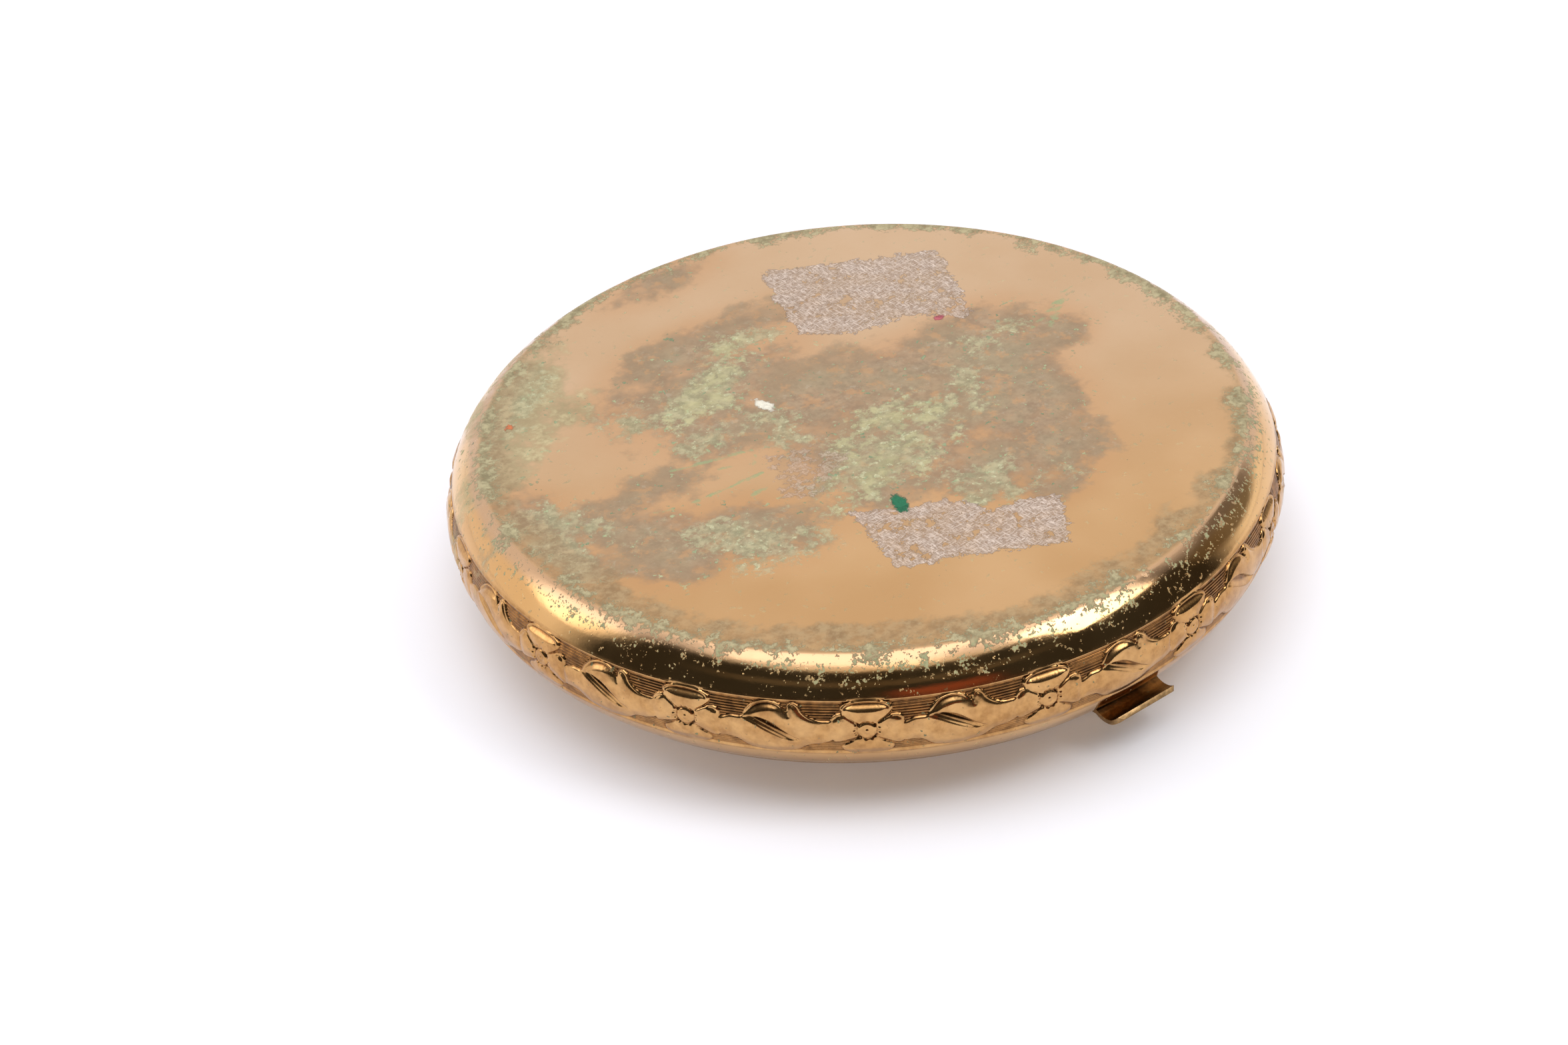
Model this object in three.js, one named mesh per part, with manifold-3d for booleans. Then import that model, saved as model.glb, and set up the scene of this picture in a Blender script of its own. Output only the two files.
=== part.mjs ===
// A round loose-powder compact in pressed brass, closed and lying on its lid with its plain back up.
// Millimetres, +Z up. The origin is on the case's axis, on the surface that the lid lies on.
// The thumb catch is at -Y and the hinge at +Y. The lid is the lower shell; the base is the upper one,
// and it holds the powder tray, the powder, the sifter, the puff and an inner door.
import * as THREE from "three";
import { mergeVertices } from "three/addons/utils/BufferGeometryUtils.js";
import Module from "manifold-3d";

const wasm = await Module();
wasm.setup();

// Driving dimensions
const CASE_RADIUS = 38; // widest, at the middle of the embossed band
const CASE_HEIGHT = 15.5;
const SHEET = 0.6; // thickness of the pressed brass
const AROUND = 64; // flats around every large turned piece
const AROUND_SMALL = 12; // flats around pins, knuckles and rivets
const SOLDER_GAP = 0.06; // left between pieces that are soldered or pressed together
const CLEAR = 0.3; // room round a piece that passes through a notch
const PAST = 1; // how far a cutting block runs beyond what it cuts

// Base shell: one elliptical edge from the back's crease round to the rim at the seam
const EDGE_ACROSS = 7.3; // semi-axis of the edge's ellipse, outwards
const EDGE_UP = 6.9; // semi-axis of the edge's ellipse, upwards
const WAIST_Z = 9.7; // height of the widest ring
const BASE_RIM_Z = 4.0;
const BACK_GROOVE = { width: 0.5, depth: 0.15 }; // the fine line round the flat back

// Lid shell: a shallow dome with a sunk seat for the enamelled panel
const LID_RIM = { radius: 34.4, z: 3.9 };
const LID_FLAT_RADIUS = 25; // where the dome starts
const PANEL_SEAT = { radius: 22.8, depth: 0.8 };
const PANEL = { radius: 22.6, proud: 0.2 }; // its face stays this far inside the ring it sits in

// Mirror stack in the lid
const BACKING = { radius: 27.5, thickness: 0.3 };
const MIRROR = { radius: 29.2, thickness: 1.3, bevel: 0.5, bevelWidth: 1.2 };
const MIRROR_RING = { inner: 27.6, foot: 30.4, outer: 31.8, low: 1.9, shoulder: 2.75, top: 3.6, lip: 0.35 };
const MIRROR_RING_CORNER = 0.2;

// Powder tray in the base
const TRAY = { inner: 29, wall: 0.6, flangeOuter: 34.6, flangeZ: 4.6, flange: 0.5, floorZ: 13.9 };
const POWDER = { radius: 28.7, low: 10.6, high: 13.8 };
const SIFTER = { inner: 26, outer: 28.7, low: 9.9, height: 0.6, gauze: 0.15, gauzeUp: 0.2 };
const PUFF = { radius: 27, low: 6.3, high: 9.75 };
const RIBBON = { width: 9, thickness: 0.2, length: 46 };

// Case hinge, at the seam on +Y
const HINGE = { y: 35.9, z: 3.9, barrel: 1.0, bore: 0.55, pin: 0.47, halfLength: 6.8, pinHalf: 6.95 };
const KNUCKLE_SPLIT = 2.3; // half the length of the base's middle knuckle, with its gaps
const KNUCKLE_GAP = 0.15;
const HINGE_NOTCH_HALF = 7.3;
const LID_LEAF = { from: 32.1, low: 0.85, high: 0.35, lap: 0.3 }; // low and high are below the hinge's axis
const BASE_LEAF = { from: 33.9, to: 34.4, tall: 4, armLow: 0.25, armHigh: 0.7 }; // above the hinge's axis
const LEAF_INTO_KNUCKLE = 0.1; // a leaf's edge stops this far short of the bore

// Inner door and its hinge
const DOOR = { radius: 28.6, low: 4.75, thickness: 0.5 };
const DOOR_HINGE = { y: 29.8, z: 4.45, barrel: 0.6, bore: 0.34, pin: 0.27, halfLength: 4.6 };
const DOOR_KNUCKLE_SPLIT = 1.8;
const DOOR_NOTCH = { half: 5.1, from: 28.1, to: 30.7, up: 0.55 };
const DOOR_NECK = { root: 2, sheet: 0.3, intoKnuckle: 0.08 };
const DOOR_BRACKET = { from: 29.9, to: 33.1, sheet: 0.35, arm: 0.45, rivetY: 31.9 };
const DOOR_TONGUE = { half: 2.2, reach: 1.6, root: 2, riser: 1.1, drop: 0.5, sheet: 0.3 };

// Thumb catch on the lid and the spring leaf that it snaps past, at -Y
const THUMB = { half: 3.55, sheet: 0.45, shelfZ: 3.3, hookY: 32.4, hookTop: 7.2, corner: 1, bow: 0.06 };
const BARB = { out: 0.35, step: 0.3 }; // step is the height of each of its three faces
const TROUGH = { y: 35.7, z: 5.25, radius: 1.8, inner: 0.585, outer: 0.9 }; // the hollow for the thumb
const LEAF = { half: 3, y: 31.3, sheet: 0.3, top: 8.2, footY: 29.75, toe: 0.4, bend: 0.1 };
const LEAF_BUMP = { out: 0.35, z: 6.1, half: 0.35 };
const FOOT_GAP = 0.1; // between the spring leaf's toe and the foot that it is soldered to
const RIVET = { radius: 0.45, top: 0.7, head: 0.3, x: 1.9 }; // top is a share of the radius

const material = (color, roughness, metalness) =>
  new THREE.MeshStandardMaterial({ color, roughness, metalness });
const brass = material(0xb98a4e, 0.32, 1);
const agedBrass = material(0x9a7a45, 0.45, 1);
const steel = material(0xb8b8b4, 0.3, 1);
const enamel = material(0x6e1016, 0.15, 0);
const silver = material(0xdfe3e6, 0.03, 1);
const card = material(0x8a7c66, 0.9, 0);
const powderPink = material(0xdcb597, 0.95, 0);
const gauze = material(0xd8cdb8, 0.8, 0);
const velour = material(0xe9cfc2, 0.95, 0);
const satin = material(0xd9a79c, 0.4, 0);

// Booleans
function solidOf(geometry) {
  const bare = geometry.clone();
  bare.deleteAttribute("normal");
  bare.deleteAttribute("uv");
  const merged = mergeVertices(bare, 1e-4);
  return new wasm.Manifold(
    new wasm.Mesh({
      numProp: 3,
      vertProperties: merged.attributes.position.array,
      triVerts: new Uint32Array(merged.index.array),
    }),
  );
}

function geometryOf(solid) {
  const mesh = solid.getMesh();
  const geometry = new THREE.BufferGeometry();
  geometry.setAttribute("position", new THREE.BufferAttribute(mesh.vertProperties, 3));
  geometry.setIndex(new THREE.BufferAttribute(mesh.triVerts, 1));
  return geometry;
}

const cut = (geometry, ...tools) =>
  geometryOf(tools.reduce((left, tool) => left.subtract(solidOf(tool)), solidOf(geometry)));
const common = (geometry, other) => geometryOf(solidOf(geometry).intersect(solidOf(other)));
const join = (geometry, ...others) =>
  geometryOf(others.reduce((whole, other) => whole.add(solidOf(other)), solidOf(geometry)));

// Shapes
// A solid turned about Z from an outline of [radius, z] points that runs counter-clockwise.
function turned(outline, segments = AROUND) {
  const points = outline.map(([radius, z]) => new THREE.Vector2(radius, z));
  if (outline[0][0] > 0) points.push(points[0].clone());
  return new THREE.LatheGeometry(points, segments).rotateX(Math.PI / 2);
}

const disc = (radius, low, high) => turned([[0, low], [radius, low], [radius, high], [0, high]]);
const ring = (inner, outer, low, high) => turned([[inner, low], [outer, low], [outer, high], [inner, high]]);

function block([x0, x1], [y0, y1], [z0, z1]) {
  const box = new THREE.BoxGeometry(x1 - x0, y1 - y0, z1 - z0);
  return box.translate((x0 + x1) / 2, (y0 + y1) / 2, (z0 + z1) / 2);
}

// A rod along X, from x0 to x1, on the axis at y, z.
function rod(radius, x0, x1, y, z) {
  const bar = new THREE.CylinderGeometry(radius, radius, x1 - x0, AROUND_SMALL);
  return bar.rotateZ(Math.PI / 2).translate((x0 + x1) / 2, y, z);
}

// A strip of even width along X whose outline is a shape in the Y-Z plane.
function strip(outline, half) {
  const shape = new THREE.Shape(outline.map(([y, z]) => new THREE.Vector2(y, z)));
  const bar = new THREE.ExtrudeGeometry(shape, { depth: 2 * half, bevelEnabled: false, steps: 1 });
  const toYZ = new THREE.Matrix4().makeBasis(
    new THREE.Vector3(0, 1, 0),
    new THREE.Vector3(0, 0, 1),
    new THREE.Vector3(1, 0, 0),
  );
  return bar.applyMatrix4(toYZ).translate(-half, 0, 0);
}

// Points of an arc about [r, z] with semi-axes a and b, between two angles in radians.
function arc([r, z], a, b, from, to, steps) {
  return Array.from({ length: steps + 1 }, (_, i) => {
    const t = from + ((to - from) * i) / steps;
    return [r + a * Math.cos(t), z + b * Math.sin(t)];
  });
}

// Base shell
function baseShell() {
  const centre = [CASE_RADIUS - EDGE_ACROSS, WAIST_Z];
  const crease = Math.asin((CASE_HEIGHT - WAIST_Z) / EDGE_UP);
  const rim = Math.asin((BASE_RIM_Z - WAIST_Z) / EDGE_UP);
  const outside = arc(centre, EDGE_ACROSS, EDGE_UP, rim, crease, 12);
  const innerTop = Math.asin((CASE_HEIGHT - SHEET - WAIST_Z) / (EDGE_UP - SHEET / 2));
  const inside = arc(centre, EDGE_ACROSS - SHEET, EDGE_UP - SHEET / 2, innerTop, rim * 1.02, 8);
  const creaseRadius = outside.at(-1)[0];
  const groove = [
    [creaseRadius - BACK_GROOVE.width / 2, CASE_HEIGHT - BACK_GROOVE.depth],
    [creaseRadius - BACK_GROOVE.width, CASE_HEIGHT],
  ];
  const shell = turned([
    [0, CASE_HEIGHT - SHEET],
    ...inside,
    ...outside,
    ...groove,
    [0, CASE_HEIGHT],
  ]);
  const hingeNotch = block(
    [-HINGE_NOTCH_HALF, HINGE_NOTCH_HALF],
    [HINGE.y - 2 * HINGE.barrel, CASE_RADIUS + PAST],
    [BASE_RIM_Z - PAST, HINGE.z + HINGE.barrel + CLEAR],
  );
  return cut(shell, hingeNotch);
}

// Lid shell
const DOME_RADIUS = (() => {
  const across = LID_RIM.radius - LID_FLAT_RADIUS;
  return (across ** 2 + LID_RIM.z ** 2) / (2 * LID_RIM.z);
})();

function dome(radius, steps) {
  const centre = [LID_FLAT_RADIUS, DOME_RADIUS];
  const end = -Math.acos((DOME_RADIUS - LID_RIM.z) / radius);
  return arc(centre, radius, radius, -Math.PI / 2, -Math.PI / 2 - end, steps);
}

function lidShell() {
  const outer = dome(DOME_RADIUS, 8);
  const inner = dome(DOME_RADIUS - SHEET, 6).reverse();
  const seatTop = PANEL_SEAT.depth + SHEET;
  const shell = turned([
    [0, PANEL_SEAT.depth],
    [PANEL_SEAT.radius, PANEL_SEAT.depth],
    [PANEL_SEAT.radius, 0],
    ...outer,
    ...inner,
    [PANEL_SEAT.radius + SHEET, SHEET],
    [PANEL_SEAT.radius, seatTop],
    [0, seatTop],
  ]);
  const catchNotch = block(
    [-THUMB.half - CLEAR, THUMB.half + CLEAR],
    [-LID_RIM.radius - PAST, -THUMB.hookY + 2 * CLEAR],
    [THUMB.shelfZ - 0.1, LID_RIM.z + PAST],
  );
  const hingeNotch = block(
    [-HINGE_NOTCH_HALF, HINGE_NOTCH_HALF],
    [LID_LEAF.from - 2 * CLEAR, LID_RIM.radius + PAST],
    [HINGE.z - LID_LEAF.low - 0.1, LID_RIM.z + PAST],
  );
  return cut(shell, catchNotch, hingeNotch);
}

// Mirror stack
const backingLow = PANEL_SEAT.depth + SHEET + SOLDER_GAP;
const mirrorLow = backingLow + BACKING.thickness + SOLDER_GAP;
const mirrorHigh = mirrorLow + MIRROR.thickness;

const mirrorGlass = () =>
  turned([
    [0, mirrorLow],
    [MIRROR.radius, mirrorLow],
    [MIRROR.radius, mirrorHigh - MIRROR.bevel],
    [MIRROR.radius - MIRROR.bevelWidth, mirrorHigh],
    [0, mirrorHigh],
  ]);

const mirrorRing = () =>
  turned([
    [MIRROR.radius + SOLDER_GAP, MIRROR_RING.low],
    [MIRROR_RING.foot, MIRROR_RING.low],
    [MIRROR_RING.outer, MIRROR_RING.shoulder],
    [MIRROR_RING.outer, MIRROR_RING.top - MIRROR_RING_CORNER],
    [MIRROR_RING.outer - MIRROR_RING_CORNER, MIRROR_RING.top],
    [MIRROR_RING.inner, MIRROR_RING.top],
    [MIRROR_RING.inner, MIRROR_RING.top - MIRROR_RING.lip],
    [MIRROR.radius + SOLDER_GAP, MIRROR_RING.top - MIRROR_RING.lip],
  ]);

// Thumb catch: a hook inside the case, a shelf over the lid's rim, and a trough with a raised lip outside
function thumbCatch() {
  const { half, sheet, shelfZ, hookY, hookTop, corner, bow } = THUMB;
  const centre = [-TROUGH.y, TROUGH.z];
  const outside = TROUGH.radius + sheet;
  const down = -Math.PI / 2;
  const under = Math.acos((TROUGH.z - shelfZ) / outside);
  const section = strip(
    [
      [-hookY, shelfZ],
      [-hookY, hookTop - 3 * BARB.step],
      [-hookY + BARB.out, hookTop - 2 * BARB.step],
      [-hookY + BARB.out, hookTop - BARB.step],
      [-hookY, hookTop],
      [-hookY - sheet, hookTop],
      [-hookY - sheet, shelfZ + sheet],
      ...arc(centre, TROUGH.radius, TROUGH.radius, down + TROUGH.inner, down - TROUGH.outer, 8),
      ...arc(centre, outside, outside, down - TROUGH.outer, down + under, 8),
    ],
    half + PAST,
  );
  const lipY = -TROUGH.y - outside * Math.sin(TROUGH.outer);
  const plan = new THREE.Shape()
    .moveTo(half, -hookY + PAST)
    .lineTo(-half, -hookY + PAST)
    .lineTo(-half, lipY + corner)
    .quadraticCurveTo(-half, lipY + bow, -half + corner, lipY + bow)
    .quadraticCurveTo(0, lipY - bow, half - corner, lipY + bow)
    .quadraticCurveTo(half, lipY + bow, half, lipY + corner);
  const tall = { depth: hookTop + PAST, bevelEnabled: false, curveSegments: 5 };
  const blank = new THREE.ExtrudeGeometry(plan, tall);
  return common(section, blank);
}

// Spring leaf in the base, and the foot that is riveted to the tray's flange
const flangeTop = TRAY.flangeZ + TRAY.flange;
const footTop = flangeTop + SOLDER_GAP + LEAF.sheet;

function catchBracket() {
  const run = [-LEAF.y + LEAF.toe + FOOT_GAP, -LEAF.footY];
  return block([-LEAF.half, LEAF.half], run, [flangeTop + SOLDER_GAP, footTop]);
}

const catchLeaf = () =>
  strip(
    [
      [-LEAF.y + LEAF.toe, flangeTop + SOLDER_GAP],
      [-LEAF.y + LEAF.toe, footTop],
      [-LEAF.y, footTop + LEAF.bend],
      [-LEAF.y, LEAF.top],
      [-LEAF.y - LEAF.sheet, LEAF.top],
      [-LEAF.y - LEAF.sheet, LEAF_BUMP.z + LEAF_BUMP.half],
      [-LEAF.y - LEAF.sheet - LEAF_BUMP.out, LEAF_BUMP.z],
      [-LEAF.y - LEAF.sheet, LEAF_BUMP.z - LEAF_BUMP.half],
      [-LEAF.y - LEAF.sheet, flangeTop + SOLDER_GAP],
    ],
    LEAF.half,
  );

// A rivet's head, on a face at z.
function rivetHead(x, y, z) {
  const { radius, top, head } = RIVET;
  const dome = turned([[0, z], [radius, z], [radius * top, z + head], [0, z + head]], AROUND_SMALL);
  return dome.translate(x, y, 0);
}

// Case hinge
function knuckle(x0, x1, { y, z, barrel, bore }) {
  return cut(rod(barrel, x0, x1, y, z), rod(bore, x0 - PAST, x1 + PAST, y, z));
}

function lidHingeLeaf() {
  const { from, low, high, lap } = LID_LEAF;
  const height = [HINGE.z - low, HINGE.z - high];
  const edge = HINGE.y - HINGE.barrel - lap;
  const plate = block([-HINGE.halfLength, HINGE.halfLength], [from, edge + lap / 2], height);
  const sides = [-1, 1].flatMap((side) => {
    const ends = [side * KNUCKLE_SPLIT, side * HINGE.halfLength].sort((a, b) => a - b);
    const arm = block(ends, [edge, HINGE.y - HINGE.bore - LEAF_INTO_KNUCKLE], height);
    return [arm, knuckle(...ends, HINGE)];
  });
  return join(plate, ...sides);
}

function baseHingeLeaf() {
  const middle = KNUCKLE_SPLIT - KNUCKLE_GAP;
  const { from, to, tall, armLow, armHigh } = BASE_LEAF;
  const plate = block(
    [-HINGE.halfLength, HINGE.halfLength],
    [from, to],
    [HINGE.z + armLow, BASE_RIM_Z + tall],
  );
  const arm = block(
    [-middle, middle],
    [from, HINGE.y - HINGE.bore - LEAF_INTO_KNUCKLE],
    [HINGE.z + armLow, HINGE.z + armHigh],
  );
  return join(plate, arm, knuckle(-middle, middle, HINGE));
}

// Powder tray: a pressed pan whose flange closes the base's rim
function powderTray() {
  const { inner, wall, flangeOuter, flangeZ, floorZ } = TRAY;
  const pan = turned([
    [0, floorZ],
    [inner, floorZ],
    [inner, flangeZ],
    [flangeOuter, flangeZ],
    [flangeOuter, flangeTop],
    [inner + wall, flangeTop],
    [inner + wall, floorZ + SHEET],
    [0, floorZ + SHEET],
  ]);
  const hookSlot = block(
    [-THUMB.half - CLEAR, THUMB.half + CLEAR],
    [-flangeOuter - PAST, -THUMB.hookY + 2 * CLEAR],
    [flangeZ - PAST, flangeTop + PAST],
  );
  const doorNotch = block(
    [-DOOR_NOTCH.half, DOOR_NOTCH.half],
    [DOOR_NOTCH.from, DOOR_NOTCH.to],
    [flangeZ - PAST, flangeTop + DOOR_NOTCH.up],
  );
  const hingeNotch = block(
    [-HINGE.halfLength - CLEAR, HINGE.halfLength + CLEAR],
    [BASE_LEAF.from - CLEAR / 2, flangeOuter + PAST],
    [flangeZ - PAST, flangeTop + PAST],
  );
  return cut(pan, hookSlot, doorNotch, hingeNotch);
}

const sifterRing = () => ring(SIFTER.inner, SIFTER.outer, SIFTER.low, SIFTER.low + SIFTER.height);
const gauzeLow = SIFTER.low + SIFTER.gauzeUp;
const sifterGauze = () => disc(SIFTER.inner - SOLDER_GAP, gauzeLow, gauzeLow + SIFTER.gauze);

// Puff: a flat round pad with soft edges, and the satin band across its back
function puff() {
  const soft = (PUFF.high - PUFF.low) / 2;
  const side = arc([PUFF.radius - soft, PUFF.low + soft], soft, soft, -Math.PI / 2, Math.PI / 2, 6);
  return turned([[0, PUFF.low], ...side, [0, PUFF.high]], 48);
}

const puffRibbon = () =>
  block(
    [-RIBBON.length / 2, RIBBON.length / 2],
    [-RIBBON.width / 2, RIBBON.width / 2],
    [PUFF.low - SOLDER_GAP - RIBBON.thickness, PUFF.low - SOLDER_GAP],
  );

// Inner door: a flat disc with a closing tongue at the front and a knuckle at the back
function powderDoor() {
  const { low, thickness, radius } = DOOR;
  const half = DOOR_KNUCKLE_SPLIT - KNUCKLE_GAP;
  const tongueLow = low - DOOR_TONGUE.drop;
  const tongue = block(
    [-DOOR_TONGUE.half, DOOR_TONGUE.half],
    [-radius - DOOR_TONGUE.reach, -radius + DOOR_TONGUE.root],
    [tongueLow, tongueLow + DOOR_TONGUE.sheet],
  );
  const riser = block(
    [-DOOR_TONGUE.half, DOOR_TONGUE.half],
    [-radius + DOOR_TONGUE.root - DOOR_TONGUE.riser, -radius + DOOR_TONGUE.root],
    [tongueLow, low + thickness / 2],
  );
  const neck = block(
    [-half, half],
    [radius - DOOR_NECK.root, DOOR_HINGE.y - DOOR_HINGE.bore - DOOR_NECK.intoKnuckle],
    [low, low + DOOR_NECK.sheet],
  );
  const backFlat = block(
    [-DOOR_NOTCH.half, DOOR_NOTCH.half],
    [DOOR_NOTCH.from - SOLDER_GAP, radius + PAST],
    [low - PAST, low + thickness + PAST],
  );
  const panel = cut(disc(radius, low, low + thickness), backFlat);
  return join(panel, tongue, riser, neck, knuckle(-half, half, DOOR_HINGE));
}

function doorHingeBracket() {
  const { from, to, sheet, arm: reach } = DOOR_BRACKET;
  const plateLow = flangeTop + SOLDER_GAP;
  const plate = block(
    [-DOOR_HINGE.halfLength, DOOR_HINGE.halfLength],
    [from, to],
    [plateLow, plateLow + sheet],
  );
  const sides = [-1, 1].flatMap((side) => {
    const ends = [side * DOOR_KNUCKLE_SPLIT, side * DOOR_HINGE.halfLength].sort((a, b) => a - b);
    const armLow = DOOR_HINGE.z + DOOR_HINGE.bore + SOLDER_GAP;
    const arm = block(ends, [from, from + reach], [armLow, plateLow + sheet / 2]);
    return [arm, knuckle(...ends, DOOR_HINGE)];
  });
  return join(plate, ...sides);
}

// Assembly
function mesh(name, geometry, look) {
  const made = new THREE.Mesh(geometry, look);
  made.name = name;
  return made;
}

const lid = new THREE.Group();
lid.add(
  mesh("lid_shell", lidShell(), brass),
  mesh("lid_panel", disc(PANEL.radius, PANEL.proud, PANEL_SEAT.depth - SOLDER_GAP), enamel),
  mesh("mirror_backing", disc(BACKING.radius, backingLow, backingLow + BACKING.thickness), card),
  mesh("mirror", mirrorGlass(), silver),
  mesh("mirror_ring", mirrorRing(), brass),
  mesh("thumb_catch", thumbCatch(), agedBrass),
  mesh("lid_hinge_leaf", lidHingeLeaf(), agedBrass),
  mesh("hinge_pin", rod(HINGE.pin, -HINGE.pinHalf, HINGE.pinHalf, HINGE.y, HINGE.z), steel),
);

const door = new THREE.Group();
door.add(mesh("powder_door", powderDoor(), brass));

const base = new THREE.Group();
base.add(
  mesh("base_shell", baseShell(), brass),
  mesh("powder_tray", powderTray(), brass),
  mesh("face_powder", disc(POWDER.radius, POWDER.low, POWDER.high), powderPink),
  mesh("sifter_ring", sifterRing(), brass),
  mesh("sifter_gauze", sifterGauze(), gauze),
  mesh("puff", puff(), velour),
  mesh("puff_ribbon", puffRibbon(), satin),
  mesh("base_hinge_leaf", baseHingeLeaf(), agedBrass),
  mesh("catch_bracket", catchBracket(), agedBrass),
  mesh("catch_leaf", catchLeaf(), agedBrass),
  mesh("door_hinge_bracket", doorHingeBracket(), agedBrass),
  mesh(
    "door_hinge_pin",
    rod(DOOR_HINGE.pin, -DOOR_HINGE.halfLength, DOOR_HINGE.halfLength, DOOR_HINGE.y, DOOR_HINGE.z),
    steel,
  ),
  door,
);

for (const [side, x] of [["left", -RIVET.x], ["right", RIVET.x]]) {
  const catchRivetY = (LEAF.footY + LEAF.y - LEAF.toe - FOOT_GAP) / 2;
  const onBracket = footTop + SOLDER_GAP;
  const onHinge = flangeTop + SOLDER_GAP + DOOR_BRACKET.sheet + SOLDER_GAP;
  base.add(
    mesh(`catch_rivet_${side}`, rivetHead(x, -catchRivetY, onBracket), brass),
    mesh(`door_hinge_rivet_${side}`, rivetHead(x, DOOR_BRACKET.rivetY, onHinge), brass),
  );
}

const compact = new THREE.Group();
compact.add(lid, base);

export default compact;
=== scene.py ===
"""The looks of a round brass powder compact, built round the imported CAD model.

Lengths here are millimetres in the model's own frame unless a name ends in _M, and are turned into
metres as each mesh is made. The thumb catch is at -Y, the hinge at +Y, and the plain back is on top.
"""

import math

import bmesh
import bpy
import numpy as np
from mathutils import Matrix, Vector


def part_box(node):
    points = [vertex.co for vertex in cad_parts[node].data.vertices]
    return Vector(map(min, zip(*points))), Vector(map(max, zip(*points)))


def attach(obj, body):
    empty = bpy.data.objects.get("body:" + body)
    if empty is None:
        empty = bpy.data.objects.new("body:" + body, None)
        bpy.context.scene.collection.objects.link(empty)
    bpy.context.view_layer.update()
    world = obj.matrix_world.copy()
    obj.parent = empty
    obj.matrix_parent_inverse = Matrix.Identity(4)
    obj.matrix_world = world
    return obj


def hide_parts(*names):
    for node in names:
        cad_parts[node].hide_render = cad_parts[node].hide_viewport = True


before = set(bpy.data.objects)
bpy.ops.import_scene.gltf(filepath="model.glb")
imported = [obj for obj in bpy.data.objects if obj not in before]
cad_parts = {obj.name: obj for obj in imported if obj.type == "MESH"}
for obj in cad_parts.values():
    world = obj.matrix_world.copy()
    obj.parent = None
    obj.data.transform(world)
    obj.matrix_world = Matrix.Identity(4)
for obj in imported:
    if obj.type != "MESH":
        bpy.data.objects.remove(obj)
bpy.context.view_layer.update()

M_PER_MM = 0.001
TAU = 2 * math.pi


def node_box(node):
    """The lowest and highest corner of a CAD node, in millimetres."""
    low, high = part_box(node)
    return low / M_PER_MM, high / M_PER_MM


SHELL_LOW, SHELL_HIGH = node_box("base_shell")
LID_RIM_Z = node_box("lid_shell")[1].z
CASE_RADIUS = SHELL_HIGH.x
BACK_Z = SHELL_HIGH.z
RIM_Z = SHELL_LOW.z

# The base's edge is an ellipse in section, as in the CAD model.
EDGE_ACROSS, EDGE_UP, WAIST_Z = 7.3, 6.9, 9.7
SHEET = 0.6
BEYOND = 36  # past the rims of the lid and the tray, for cuts that run out of them


# ---------------------------------------------------------------- meshes


def smoothstep(value, low, high):
    t = np.clip((np.asarray(value, float) - low) / (high - low), 0, 1)
    return t * t * (3 - 2 * t)


def ridge(distance, width):
    """1 where the distance is 0, falling away over the width."""
    return np.exp(-((distance / width) ** 2))


def raw(name, vertices, faces):
    """An object from vertices in millimetres, not yet placed on a body."""
    mesh = bpy.data.meshes.new(name)
    mesh.from_pydata((np.asarray(vertices, float) * M_PER_MM).tolist(), [], faces)
    made = bpy.data.objects.new(name, mesh)
    bpy.context.scene.collection.objects.link(made)
    return made


def place(piece, body, slot, replaces):
    """Shades the piece smooth and puts it on its body, in the place of CAD nodes."""
    piece.data.polygons.foreach_set("use_smooth", [True] * len(piece.data.polygons))
    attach(piece, body)
    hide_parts(*replaces)
    return piece


def add_attribute(piece, name, values):
    layer = piece.data.attributes.new(name, "FLOAT", "POINT")
    layer.data.foreach_set("value", np.asarray(values, np.float32))


def circle(radius, turn, level):
    """Points round the Z axis, at the angles in turn."""
    return zip(radius * np.cos(turn), radius * np.sin(turn), np.broadcast_to(level, turn.shape))


def ring_faces(start, count, next_start, next_count):
    """Faces between two rings of vertices.

    Either may be a single vertex, or have a whole number of times more than the other."""
    faces = []
    if next_count == 1:
        faces = [(start + i, start + (i + 1) % count, next_start) for i in range(count)]
    elif count == 1:
        faces = [(start, next_start + (i + 1) % next_count, next_start + i) for i in range(next_count)]
    elif count == next_count:
        for i in range(count):
            j = (i + 1) % count
            faces.append((start + i, start + j, next_start + j, next_start + i))
    elif count > next_count:
        step = count // next_count
        for i in range(next_count):
            fine = [start + (i * step + k) % count for k in range(step + 1)]
            faces.append((*fine, next_start + (i + 1) % next_count, next_start + i))
    else:
        step = next_count // count
        for i in range(count):
            fine = [next_start + (i * step + k) % next_count for k in range(step + 1)]
            faces.append((start + i, start + (i + 1) % count, *reversed(fine)))
    return faces


# ---------------------------------------------------------------- the embossed band


FLOWERS = 15
MOTIF = TAU * CASE_RADIUS / FLOWERS  # length of one flower and leaf round the band
FIRST_FLOWER = math.radians(-82)
BAND_LOW, BAND_HIGH = -2.75, 2.85  # along the edge's outline, from the widest ring
RECESS = 0.2  # depth of the lined ground below the flowers and leaves
FOOT_RECESS = 0.17  # the same at the band's foot
LINE_PITCH, LINE_DEPTH = 0.25, 0.07
DOME, DOME_REACH = 0.11, 0.9  # how high petals and leaves swell, and how far in from their edges
OUTLINE_DEPTH, OUTLINE_WIDTH = 0.1, 0.08  # the groove round each petal and leaf
CREASE_DEPTH, CREASE_WIDTH = 0.04, 0.07
LIP_HEIGHT, LIP_WIDTH = 0.035, 0.09
DISC_RADIUS, DISC_RING, PLEATS = 0.86, 0.15, 13  # the flower's eye, its ring's depth and the pleats round it

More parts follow.
